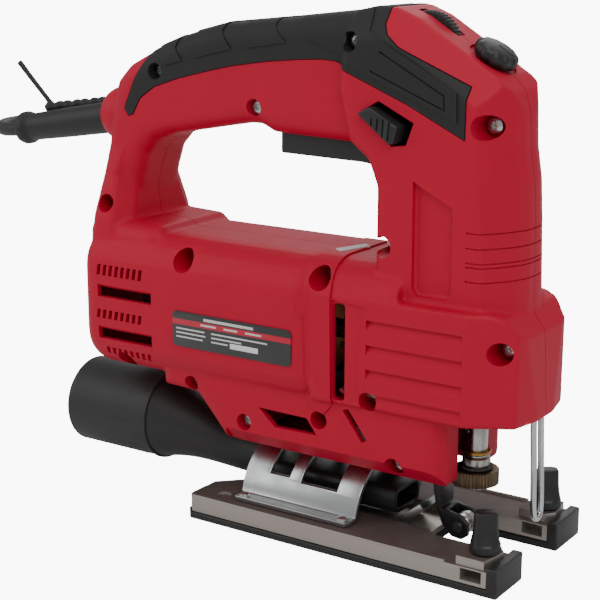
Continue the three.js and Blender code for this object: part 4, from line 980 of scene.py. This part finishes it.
class JigsawMakeHousing(bpy.types.Operator):
    """Makes both halves of the moulded housing, their soft grips and the housing screws"""

    bl_idname = "jigsaw.make_housing"
    bl_label = "Housing"
    GRIP_SCREWS = ("handle_rear", "handle_front")

    def execute(self, context):
        form = housing_form()
        cavity = rebuild(displaced(copy_of(form, "cavity"), -sizes().wall), sizes().cavity_voxel, 0)
        raised = displaced(copy_of(form, "band_form"), 0.8 * MM)
        rib = combine(arch_band(), raised, "INTERSECT")
        shell = combine(copy_of(form, "shell"), rib, "UNION")
        self.sink_grip(form, shell)
        combine(shell, cavity)
        combine(shell, screw_posts(form), "UNION")
        combine(shell, column_lines(form))
        combine(shell, self.sleeves(form, 0.05))
        spots = [*SCREWS.values(), *SHALLOW_SCREWS.values()]
        for cutter in control_cutters() + lower_cutters() + recess_cutters(spots):
            combine(shell, cutter)
        half_seam = sizes().seam / 2 / MM
        for name, side in (("right", RIGHT), ("left", LEFT)):
            half = copy_of(shell, "shell_" + name)
            y = sorted((side * half_seam, side * 60))
            combine(half, block("half_space", -150, 90, *y, 20, 230), "INTERSECT")
            for cutter in panel_cutters(side):
                combine(half, cutter)
            finish_piece(half, "housing", "red_shell", FINISHES["shell"], "housing_" + name, angle=32)
        self.make_grips(form, half_seam)
        discard(shell, form)
        self.make_screws()
        self.make_label()
        return {"FINISHED"}

    def sleeves(self, form, margin):
        """The soft lining of the screw holes that pass through the grips."""
        spots = [SCREWS[name] for name in self.GRIP_SCREWS]
        rods = [rod("sleeve", (x, -33, z), (0, 1, 0), radius + 1.1 + margin, 33 - depth + 3, 32)
                for x, z, depth, radius in spots]
        return combine(fuse("sleeves", *rods), displaced(copy_of(form, "sleeve_limit"), -0.0002), "INTERSECT")

    def grip_prism(self, margin):
        return plate("grip_region", inset_outline(GRIP_REGION, margin), -30, 30)

    def sink_grip(self, form, shell):
        """Cuts the shallow bed that the soft grips lie in."""
        bed = combine(self.grip_prism(0), displaced(copy_of(form, "bed"), -sizes().grip_depth))
        combine(shell, bed)

    def make_grips(self, form, half_seam):
        inner = displaced(copy_of(form, "grip_inner"), -sizes().grip_depth + 0.00012)
        outer = displaced(copy_of(form, "grip_outer"), sizes().grip_rise)
        grip = combine(self.grip_prism(0.35), outer, "INTERSECT")
        combine(grip, self.finger_pads(form), "UNION")
        combine(grip, inner)
        combine(grip, self.sleeves(form, 0), "UNION")
        for cutter in control_cutters() + recess_cutters([SCREWS[name] for name in self.GRIP_SCREWS]):
            combine(grip, cutter)
        combine(grip, self.grip_grooves(form))
        for name, side in (("right", RIGHT), ("left", LEFT)):
            half = copy_of(grip, "soft_grip_" + name)
            y = sorted((side * half_seam, side * 60))
            combine(half, block("half_space", -150, 90, *y, 150, 230), "INTERSECT")
            finish_piece(half, "housing", "black_rubber", FINISHES["grip"], "grip_" + name, angle=40)
        discard(grip)

    def finger_pads(self, form):
        """Raised pads that wrap over the handle, with narrow valleys between them."""
        outlines = [
            [(-96.5, 190.8), (-87.1, 193.2), (-91.3, 198.4), (-91, 222), (-104, 222), (-100.9, 194.5)],
            [(-79.3, 194.8), (-61.7, 199.2), (-67.2, 205.8), (-67.4, 222), (-84, 222), (-82.0, 202.9)],
            [(-53.8, 199.9), (-34.9, 202.9), (-41.0, 209), (-42, 222), (-58, 222), (-55.5, 208.0)],
            [(-24.3, 205.1), (45.4, 177.2), (45, 188.6), (6, 209.4), (3, 222), (-31, 222), (-29, 210.5)],
        ]
        pads = fuse("finger_pads", *[plate("pad", outline, -30, 30) for outline in outlines])
        return combine(pads, displaced(copy_of(form, "pad_top"), 0.00085), "INTERSECT")

    def grip_grooves(self, form):
        """A thin groove that frames the front panel of the grip."""
        frame_line = [(8, 194.2), (40.6, 181.2), (40.2, 187.4), (12, 202.4), (12, 201.6), (39.5, 186.9),
                      (39.8, 182.3), (8.2, 194.9)]
        return combine(plate("frame_line", frame_line, -30, 30), displaced(copy_of(form, "groove_floor"), 0.0003))

    def make_screws(self):
        for name, (x, z, depth, _) in SCREWS.items():
            screw = self.screw(x, z, depth)
            screw.name = "screw_" + name
            finish_piece(screw, "housing", "steel", FINISHES["screw"], "housing_screw_" + name)
        for name, (x, z, depth, _) in SHALLOW_SCREWS.items():
            screw = self.screw(x, z, depth)
            screw.name = "screw_" + name
            finish_piece(screw, "housing", "steel", FINISHES["screw"])

    def screw(self, x, z, depth):
        """A pan head with a six-lobed socket, its shank going into the post behind it."""
        head = turned("screw", [(0, 0), (1.75, 0), (1.75, 5), (3.3, 5.0), (3.4, 5.3), (3.4, 6.4), (3.1, 7.1),
                                (2.3, 7.5), (0, 7.6)], (x, -depth + 4.9, z), (0, -1, 0), 36)
        socket = turned("socket", [(0, 0), (1.35, 0), (1.35, 3), (0, 3)], (x, -depth - 1.4, z), (0, -1, 0), 36,
                        wobble=lambda a: 0.28 * math.cos(6 * a))
        return combine(head, socket)

    def make_label(self):
        label = plate("rating_plate", rounded(-83, -22.5, 74.4, 89.7, 2, 8), -BARREL_HALF - 0.55, -BARREL_HALF + 0.4)
        bevel(label, 0.15, 2)
        finish_piece(label, "housing", "label", FINISHES["label"], "rating_label")
        seal = plate("paper_seal", [(-15.6, -11), (-11.4, -14), (-6.2, 1), (-10.4, 4)], 119.9, 120.62, along="Z")
        bevel(seal, 0.1, 1)
        finish_piece(seal, "housing", "label", FINISHES["paper"])


# ------------------------------------------------------------------ base
HALF_LENGTH, HALF_WIDTH, RAIL_INNER = 75, 39, 16
SOLE_TOP, PLATE_TOP, CAP_DEPTH = 3, 10, 4.5
RAIL_SCREW_X, RAIL_SCREW_Y = 64.5, 28
TILT_Z, ARCH_RADIUS, ARCH_SHEET, ARCH_REAR, ARCH_FRONT = 7, 26, 2, -53, 4
GAP = 0.3


def mirrored(points):
    return points + [(x, -y) for x, y in reversed(points)]


def base_plan(margin, front):
    """Plan of the base with its rear notch and the blade gap between its rails."""
    inner = RAIL_INNER + margin
    return mirrored([
        (-HALF_LENGTH + 12 + margin, 8), (-HALF_LENGTH + margin, 20), (-HALF_LENGTH + margin, HALF_WIDTH - 5),
        (-HALF_LENGTH + 4 + margin, HALF_WIDTH - margin), (front, HALF_WIDTH - margin), (front, inner), (36, inner),
        (30 - margin, inner - 6)])


class JigsawMakeBase(bpy.types.Operator):
    """Makes the sole, the cast footplate, the bevel bracket and the two rail screws"""

    bl_idname = "jigsaw.make_base"
    bl_label = "Base"

    def execute(self, context):
        self.make_sole()
        self.make_footplate()
        self.make_bracket()
        for name, side in (("right", RIGHT), ("left", LEFT)):
            self.make_rail_screw(name, side)
        return {"FINISHED"}

    def make_sole(self):
        sole = plate("sole_tray", base_plan(0, HALF_LENGTH), 0, SOLE_TOP, "Z")
        for side in (RIGHT, LEFT):
            y = sorted((side * RAIL_INNER, side * HALF_WIDTH))
            combine(sole, block("cap", HALF_LENGTH - CAP_DEPTH, HALF_LENGTH, *y, 0, PLATE_TOP + 2), "UNION")
            y = sorted((side * 22, side * (HALF_WIDTH - 6)))
            combine(sole, block("lip", -HALF_LENGTH, -HALF_LENGTH + 2, *y, 0, PLATE_TOP - 1), "UNION")
        bevel(sole, 0.7, 3, 50)
        for y in range(-34, 35, 4):
            if abs(y) > 12:
                combine(sole, block("sole_rib", -66, 66, y - 0.4, y + 0.4, -1, 0.4))
        finish_piece(sole, "base", "black_plastic", FINISHES["plastic"], "sole_cover")

    def make_footplate(self):
        top = plate("footplate_casting", base_plan(0.8, HALF_LENGTH - CAP_DEPTH - GAP), SOLE_TOP + GAP, PLATE_TOP, "Z")
        combine(top, block("front_part", -HALF_LENGTH + 2 + GAP, HALF_LENGTH, -60, 60, 0, 60), "INTERSECT")
        boss = [(55.5, 21), (67.5, 20), (70.5, 24), (68.5, 37), (56.5, 37)]
        for side in (RIGHT, LEFT):
            combine(top, plate("boss", [(x, side * y) for x, y in boss], PLATE_TOP - 1, PLATE_TOP + 3.5, "Z"), "UNION")
            rim = [(-70, 36.2), (52, 36.2), (52, 38.1), (-70, 38.1)]
            combine(top, plate("rim", [(x, side * y) for x, y in rim], PLATE_TOP - 1, PLATE_TOP + 0.9, "Z"), "UNION")
        bevel(top, 0.8, 3, 50)
        combine(top, block("guide_slot", 59, 68, -60, 60, SOLE_TOP + 1.6, PLATE_TOP - 0.6))
        combine(top, block("duct_pocket", -57, 35, -13, 13, PLATE_TOP - 4, 20))
        for side in (RIGHT, LEFT):
            combine(top, rod("screw_hole", (RAIL_SCREW_X, side * RAIL_SCREW_Y, 7.8), (0, 0, 1), 2.8, 20))
            combine(top, plate("well", arc(-60, side * 29, 3.2, 0, 345, 23), PLATE_TOP - 1.2, PLATE_TOP + 4, "Z"))
        bevel(top, 0.25, 2, 60)
        finish_piece(top, "base", "cast_aluminium", FINISHES["footplate"], "footplate")

    def arch_section(self):
        """Cross-section of the bracket: an arch between two feet."""
        sheet_low, sheet_top, foot = PLATE_TOP + GAP, PLATE_TOP + GAP + ARCH_SHEET, HALF_WIDTH - 7
        start = math.degrees(math.asin((PLATE_TOP + ARCH_SHEET + 1 - TILT_Z) / ARCH_RADIUS))
        outer = arc(0, TILT_Z, ARCH_RADIUS, start, 180 - start, 40)
        inner = arc(0, TILT_Z, ARCH_RADIUS - ARCH_SHEET, start, 180 - start, 40)
        return [(foot, sheet_low), (foot, sheet_top), (outer[0][0] + 0.4, sheet_top), *outer,
                (-outer[0][0] - 0.4, sheet_top), (-foot, sheet_top), (-foot, sheet_low),
                (1 + ARCH_SHEET - ARCH_RADIUS, sheet_low), *reversed(inner), (ARCH_RADIUS - ARCH_SHEET - 1, sheet_low)]

    def make_bracket(self):
        bracket = plate("tilting_bracket", self.arch_section(), ARCH_REAR, ARCH_FRONT, "X")
        for x0, x1, z in ((-41, -31, 21.5), (-25, -7, 20.5)):
            combine(bracket, block("slot", x0, x1, -40, 40, z, 60))
        for x in (ARCH_REAR, ARCH_FRONT):
            for side in (RIGHT, LEFT):
                corner = [(x - 2.4, side * 36), (x, side * 29), (x + 2.4, side * 36)]
                combine(bracket, plate("corner", corner, 0, 20, "Z"))
        bevel(bracket, 0.5, 3, 45)
        for x in (ARCH_REAR + 4, ARCH_FRONT - 4):
            for side in (RIGHT, LEFT):
                rivet = turned("rivet", [(0, -1.5), (2.6, -1.5), (2.6, 0.1), (2.3, 0.8), (1.5, 1.25), (0, 1.4)],
                               (x, side * (HALF_WIDTH - 10), PLATE_TOP + GAP + ARCH_SHEET), (0, 0, 1), 28)
                combine(bracket, rivet, "UNION")
        finish_piece(bracket, "base", "zinc", FINISHES["zinc"], "bevel_bracket")

    def make_rail_screw(self, name, side):
        """A tall wing-shaped grip over a threaded foot."""
        foot, seat = 9.8, PLATE_TOP + 3.5 + GAP
        lift = seat - foot
        shank = [(0, 0), (2.5, 0), (2.5, lift)]
        thumb = turned("thumb_screw_" + name, shank + [(5.6, lift), (6.0, lift + 0.5), (6.0, lift + 3.4),
                       (5.4, lift + 4.2), (0, lift + 4.2)], (RAIL_SCREW_X, side * RAIL_SCREW_Y, foot), (0, 0, 1), 48)
        rings = []
        for d, wide, deep in ((3, 5.6, 5.6), (4.4, 5.5, 5.2), (7, 5.0, 4.2), (10, 4.7, 3.5), (13.5, 4.6, 3.2),
                              (15.6, 4.5, 3.1), (16.3, 4.1, 2.8), (16.5, 3.5, 2.3)):
            ring = []
            for i in range(48):
                angle = 2 * math.pi * i / 48
                c, s = math.cos(angle), math.sin(angle)
                round_out = (abs(c) ** 3.2 + abs(s) ** 3.2) ** (-1 / 3.2)
                u, v = wide * c * round_out, deep * s * round_out
                ring.append((RAIL_SCREW_X + 0.8 * u + 0.6 * v, side * RAIL_SCREW_Y - 0.8 * v + 0.6 * u,
                             foot + lift + d))
            rings.append(ring)
        fluted = loft("wing", rings)
        combine(thumb, fluted, "UNION")
        finish_piece(thumb, "rail_screw_" + name, "black_plastic", FINISHES["plastic"], "rail_screw_" + name)


# ------------------------------------------------------------------ dust extraction
class JigsawMakeDustPath(bpy.types.Operator):
    """Makes the pull-out dust tube, the chip duct and the deflector behind the blade"""

    bl_idname = "jigsaw.make_dust_path"
    bl_label = "Dust tube and duct"

    def tube(self, wall, extra):
        """Tube body shrunk by the wall; extra makes its ends run past."""
        rear, shoulder, neck, end = -158, -112, -62, -54
        radius, neck_radius, z_rear, z_neck = 20 - wall, 9.3 - wall, 28.8, 20
        spots = [(rear - extra, radius - (0 if extra else 0.8)), (rear + 0.8, radius), (rear + 6, radius),
                 (-120, radius), (shoulder, radius - 0.3)]
        count = 14
        for i in range(1, count + 1):
            t = i / count
            spots.append((shoulder + (neck - shoulder) * t, radius + (neck_radius - radius) * math.sin(math.pi / 2 * t)))
        spots.append((end + extra, neck_radius))
        rings = []
        for x, r in spots:
            t = min(max((x - shoulder) / (neck - shoulder), 0), 1)
            z = z_rear + (z_neck - z_rear) * t * t * (3 - 2 * t)
            rings.append([(x, r * math.cos(2 * math.pi * i / 64), z + r * math.sin(2 * math.pi * i / 64))
                          for i in range(64)])
        return loft("dust_pipe", rings)

    def execute(self, context):
        pipe = combine(self.tube(0, 0), self.tube(2.2, 2))
        bead = turned("bead", [(0, 0), (20.35, 0), (20.35, 1.6), (0, 1.6)], (-112.5, 0, 28.8), (1, 0, 0), 64)
        combine(bead, rod("bead_bore", (-114, 0, 28.8), (1, 0, 0), 19.2, 5, 64))
        combine(pipe, bevel(bead, 0.5, 3), "UNION")
        finish_piece(pipe, "dust_tube", "black_plastic", FINISHES["tube"], "dust_tube")
        duct = plate("chip_channel", rounded(-10.5, 10.5, 11, 22, 4), -53.7, 14, "X")
        combine(duct, plate("bore", rounded(-8.5, 8.5, 13, 20, 2.5), -60, 20, "X"))
        bevel(duct, 0.4, 2, 50)
        finish_piece(duct, "base", "black_plastic", FINISHES["plastic"], "chip_duct")
        ramp = plate("chip_ramp", [(14.3, 7), (17, 7), (26.5, 15.5), (25, 18), (14.3, 9.5)], -9, 9)
        bevel(ramp, 0.3, 2)
        finish_piece(ramp, "base", "zinc", FINISHES["zinc"], "chip_deflector")
        return {"FINISHED"}


# ------------------------------------------------------------------ blade drive
PLUNGER_X, PLUNGER_FOOT, RING_Z, RING_RADIUS, RING_HEIGHT = 45.5, 42, 29.5, 9.4, 6
FORK_X, FORK_Z, ROLLER_X, ROLLER_Z = 31, 50, 41, 10.5


class JigsawMakeBladeDrive(bpy.types.Operator):
    """Makes the plunger, the clamp and its ring, the pendulum fork, the guide roller and the wire guard"""

    bl_idname = "jigsaw.make_blade_drive"
    bl_label = "Blade drive"

    def execute(self, context):
        self.make_plunger()
        self.make_ring()
        self.make_fork()
        self.make_guard()
        return {"FINISHED"}

    def make_plunger(self):
        sleeve = turned("plunger_sleeve", [(4.26, 1), (4.4, 1), (4.45, 1.4), (4.45, 12), (4.26, 12.4)],
                        (PLUNGER_X, 0, PLUNGER_FOOT), (0, 0, 1), 48)
        finish_piece(sleeve, "plunger", "steel", FINISHES["steel"])
        clamp = turned("blade_socket", [
            (0, -2), (5.0, -2), (5.5, -1.5), (5.5, 6.0), (5.0, 6.2), (5.0, 7.4), (5.6, 7.6), (5.7, 8.0), (5.7, 10.8),
            (5.3, 11.2), (4.7, 11.6), (4.7, 12.2), (0, 12.2)], (PLUNGER_X, 0, RING_Z), (0, 0, 1), 56)
        combine(clamp, block("blade_slot", PLUNGER_X - 4.5, PLUNGER_X + 4.5, -0.9, 0.9, RING_Z - 4, RING_Z + 8))
        finish_piece(clamp, "plunger", "steel", FINISHES["steel"], "blade_clamp")
        washer = turned("washer", [(5.55, 6.4), (6.6, 6.4), (6.8, 6.6), (6.8, 7.4), (6.6, 7.6), (5.55, 7.6)],
                        (PLUNGER_X, 0, RING_Z), (0, 0, 1), 48)
        finish_piece(washer, "plunger", "black_steel", FINISHES["blackened"])
        spring = turned("spring_ring", [(4.5, 0), (5.7, 0), (5.9, 0.25), (5.9, 0.95), (5.7, 1.2), (4.5, 1.2)],
                        (PLUNGER_X, 0, PLUNGER_FOOT + GAP), (0, 0, 1), 48)
        finish_piece(spring, "plunger", "brass", FINISHES["brass"], "clamp_spring")

    def make_ring(self):
        outline = []
        steps = 96
        for i in range(steps + 1):
            angle = -0.56 * math.pi + 1.5 * math.pi * i / steps
            reach = RING_RADIUS - (0.45 if i % 3 == 1 else 0)
            outline.append((PLUNGER_X + reach * math.cos(angle), reach * math.sin(angle)))
        outline += [(PLUNGER_X - 11.5, 1), (PLUNGER_X - 11.5, -5.5)]
        ring = plate("release_ring", outline, RING_Z, RING_Z + RING_HEIGHT, "Z")
        bevel(ring, 0.25, 2, 50)
        combine(ring, rod("ring_bore", (PLUNGER_X, 0, RING_Z - 1), (0, 0, 1), 5.9, RING_HEIGHT + 2, 48))
        finish_piece(ring, "clamp_ring", "bronze", FINISHES["bronze"], "clamp_ring")

    def make_fork(self):
        side = [
            (FORK_X - 2.8, FORK_Z + 5), (FORK_X + 3.2, FORK_Z + 5), (FORK_X + 3.2, FORK_Z - 1.8),
            (FORK_X + 1.7, FORK_Z - 3.5), (FORK_X + 1.7, 17.2), (ROLLER_X - 4, ROLLER_Z + 5.8),
            (ROLLER_X + 1, ROLLER_Z + 5), (ROLLER_X + 4.6, ROLLER_Z + 2), (ROLLER_X + 4.6, ROLLER_Z - 3),
            (ROLLER_X + 1.5, ROLLER_Z - 5.2), (ROLLER_X - 3, ROLLER_Z - 4.6), (ROLLER_X - 7.5, ROLLER_Z),
            (FORK_X - 0.6, 19), (FORK_X - 1.9, 27)]
        fork = plate("swing_fork", side, -6, 6)
        combine(fork, block("roller_room", ROLLER_X - 5.4, ROLLER_X + 12, -4, 4, 0, 22))
        combine(fork, block("upper_room", FORK_X - 8, ROLLER_X + 12, -4, 4, 34, FORK_Z + 12))
        bevel(fork, 0.45, 3, 35)
        for y in (-6, 6):
            cap = turned("rivet", [(0, -0.6), (2.3, -0.6), (2.3, 0.25), (1.8, 0.75), (0, 0.95)],
                         (ROLLER_X, y, ROLLER_Z), (0, math.copysign(1, y), 0), 24)
            combine(fork, cap, "UNION")
        combine(fork, rod("fork_hole", (FORK_X, -10, FORK_Z), (0, 1, 0), 2.1, 20, 20))
        finish_piece(fork, "fork", "black_steel", FINISHES["blackened"], "pendulum_fork")
        half = 3.6
        roller = turned("blade_roller", [
            (1.6, 0), (4.1, 0), (4.4, 0.4), (4.4, half - 0.9), (3.4, half - 0.4), (3.4, half + 0.4), (4.4, half + 0.9),
            (4.4, 2 * half - 0.4), (4.1, 2 * half), (1.6, 2 * half)], (ROLLER_X, -half, ROLLER_Z), (0, 1, 0), 48)
        finish_piece(roller, "roller", "steel", FINISHES["steel"], "guide_roller")

    def make_guard(self):
        x, y, top = 71.4, 3.3, 62
        spots = [(x, y - 0.6, top + 7), (x, y, top - 1), (x + 0.8, y, 42), (x + 1.4, y, 24), (x + 1.5, y * 0.75, 20.9),
                 (x + 1.6, 0, 19.6)]
        spots += [(u, -v, w) for u, v, w in reversed(spots[:-1])]
        shape = bpy.data.curves.new("finger_guard", "CURVE")
        shape.dimensions = "3D"
        shape.bevel_depth = 1.3 * MM
        shape.bevel_resolution = 4
        shape.use_fill_caps = True
        line = curve_through(spots, 8)
        spline = shape.splines.new("POLY")
        spline.points.add(len(line) - 1)
        for point, spot in zip(spline.points, line):
            point.co = (*(spot * MM), 1)
        guard = bpy.data.objects.new("finger_guard", shape)
        bpy.context.scene.collection.objects.link(guard)
        choose(guard)
        bpy.ops.object.convert(target="MESH")
        finish_piece(name_active("finger_guard"), "housing", "chrome_wire", FINISHES["chrome"], "wire_guard", angle=60)


# ------------------------------------------------------------------ controls
class JigsawMakeControls(bpy.types.Operator):
    """Makes the trigger, the lock button, the speed dial, the front knob and the orbit lever"""

    bl_idname = "jigsaw.make_controls"
    bl_label = "Controls"

    def execute(self, context):
        trigger = plate("finger_trigger", [
            (-44, 157), (-44, 167), (-6, 169), (5, 169), (9, 163), (9.2, 150), (7.4, 152), (6, 153.5), (3.6, 154.8),
            (1, 155.6), (-2, 156.1), (-5, 156.4)], -9, 9)
        bevel(trigger, 1.4, 4, 50)
        for i in range(6):
            x = -38 + 5.2 * i
            groove_line = plate("grip_line", [(x, 150), (x + 0.9, 150), (x + 0.9, 157.3), (x, 157.3)], -6.5, 6.5)
            combine(trigger, groove_line)
        finish_piece(trigger, "trigger", "black_plastic", FINISHES["plastic"], "trigger")
        button = pillow("lock_cap", LOCK_OUTLINE, -COLUMN_HALF - 3.4, -12, 0.9)
        for x in (9.5, 12.1, 14.7, 17.3):
            rib = [(x, 169), (x + 0.9, 169), (x + 1.6, 177), (x + 0.7, 177)]
            combine(button, plate("rib_line", rib, -COLUMN_HALF - 4, -COLUMN_HALF - 2.9))
        finish_piece(button, "lock_button", "black_plastic", FINISHES["plastic"], "lock_button")
        self.make_dial()
        self.make_knob()
        lever = pillow("orbit_handle", [(1, 51), (11, 51), (11.5, 44), (9, 36.5), (3, 36.5), (0.5, 44)], 28.5, 33, 1.1)
        combine(lever, rod("lever_post", (6, 17, 46), (0, 1, 0), 4, 14, 32), "UNION")
        for i in range(3):
            z = 38.2 + 1.7 * i
            combine(lever, block("lever_line", 0, 12, 32.6, 34, z, z + 0.7))
        finish_piece(lever, "orbit_lever", "black_plastic", FINISHES["plastic"], "orbit_lever")
        return {"FINISHED"}

    def make_dial(self):
        teeth, outline = 52, []
        for i in range(teeth * 4):
            reach = 14.0 if i % 4 < 2 else 13.45
            angle = 2 * math.pi * i / (teeth * 4)
            outline.append((19.5 + reach * math.cos(angle), 202.5 + reach * math.sin(angle)))
        dial = plate("thumb_wheel", outline, -2.5, 2.5)
        bevel(dial, 0.25, 2, 50)
        finish_piece(dial, "speed_dial", "black_plastic", FINISHES["plastic"], "speed_dial")

    def make_knob(self):
        slope = math.radians(31)
        axis = Vector((math.sin(slope), 0, math.cos(slope)))
        seat = Vector((46.8, 0, 198.6))
        flutes = lambda a: -0.3 + 0.3 * math.cos(11 * a)
        cap = turned("ribbed_knob", [(0, 0.6), (8.0, 0.6), (8.8, 1.2), (9.1, 2.2), (8.9, 4.2), (8.1, 5.4), (7.2, 5.9)],
                     seat, axis, 128, wobble=flutes)
        top = turned("knob_top", [(0, 3), (7.1, 3), (7.1, 5.8), (6.4, 6.1), (0, 6.3)], seat, axis, 64)
        combine(cap, top, "UNION")
        across = Vector((math.cos(slope), 0, -math.sin(slope)))
        mark = []
        for d in (5.9, 8):
            centre = seat + axis * d
            corners = ((7.2, -0.5), (7.2, 0.5), (-1, 0.5), (-1, -0.5))
            mark.append([centre + across * u + Vector((0, v, 0)) for u, v in corners])
        combine(cap, loft("knob_mark", mark))
        combine(cap, rod("knob_stem", seat - axis * 9, axis, 3, 11, 32), "UNION")
        finish_piece(cap, "front_knob", "black_plastic", FINISHES["plastic"], "front_knob")


# ------------------------------------------------------------------ inner works
INNER_FINISHES = {
    "black_plastic": "plastic", "black_rubber": "grip", "cast_aluminium": "cast", "steel": "steel",
    "dark_steel": "dark_steel", "black_steel": "blackened", "zinc": "zinc", "chrome_wire": "chrome",
    "bronze": "bronze", "brass": "brass", "copper": "copper", "cord_rubber": "cord", "red_shell": "shell",
    "label": "label",
}


class JigsawDressInnerWorks(bpy.types.Operator):
    """Gives the motor, the gears and the other works inside the shell their metals and plastics"""

    bl_idname = "jigsaw.dress_inner_works"
    bl_label = "Inner works"

    def execute(self, context):
        for name, node in NODES.items():
            for holder in node.material_slots:
                key = holder.material.name.split(".")[0]
                if key not in INNER_FINISHES:
                    raise ValueError(f"{name}: no finish for the slot {key}")
                holder.material = FINISHES[INNER_FINISHES[key]]
        return {"FINISHED"}


# ------------------------------------------------------------------ panel and start
class JigsawPanel(bpy.types.Panel):
    """Lists the jigsaw's sizes, colours and building steps"""

    bl_idname = "VIEW3D_PT_jigsaw"
    bl_label = "Jigsaw"
    bl_space_type = "VIEW_3D"
    bl_region_type = "UI"
    bl_category = "Jigsaw"

    def draw(self, context):
        for group in (context.scene.jigsaw_sizes, context.scene.jigsaw_colours):
            box = self.layout.box()
            for name in group.__annotations__:
                box.prop(group, name)
        for step in STEPS:
            self.layout.operator(step.bl_idname)


STEPS = (
    JigsawMakeFinishes, JigsawMakeStage, JigsawMakeCord, JigsawDressInnerWorks, JigsawMakeHousing, JigsawMakeBase,
    JigsawMakeDustPath, JigsawMakeBladeDrive, JigsawMakeControls,
)
GROUPS = (JigsawSizes, JigsawColours)


def register():
    for part in (*GROUPS, *STEPS, JigsawPanel):
        bpy.utils.register_class(part)
    bpy.types.Scene.jigsaw_sizes = PointerProperty(type=JigsawSizes)
    bpy.types.Scene.jigsaw_colours = PointerProperty(type=JigsawColours)


def unregister():
    del bpy.types.Scene.jigsaw_colours
    del bpy.types.Scene.jigsaw_sizes
    for part in reversed((*GROUPS, *STEPS, JigsawPanel)):
        bpy.utils.unregister_class(part)


def main():
    register()
    for step in STEPS:
        family, name = step.bl_idname.split(".")
        getattr(getattr(bpy.ops, family), name)()


if __name__ == "__main__":
    main()
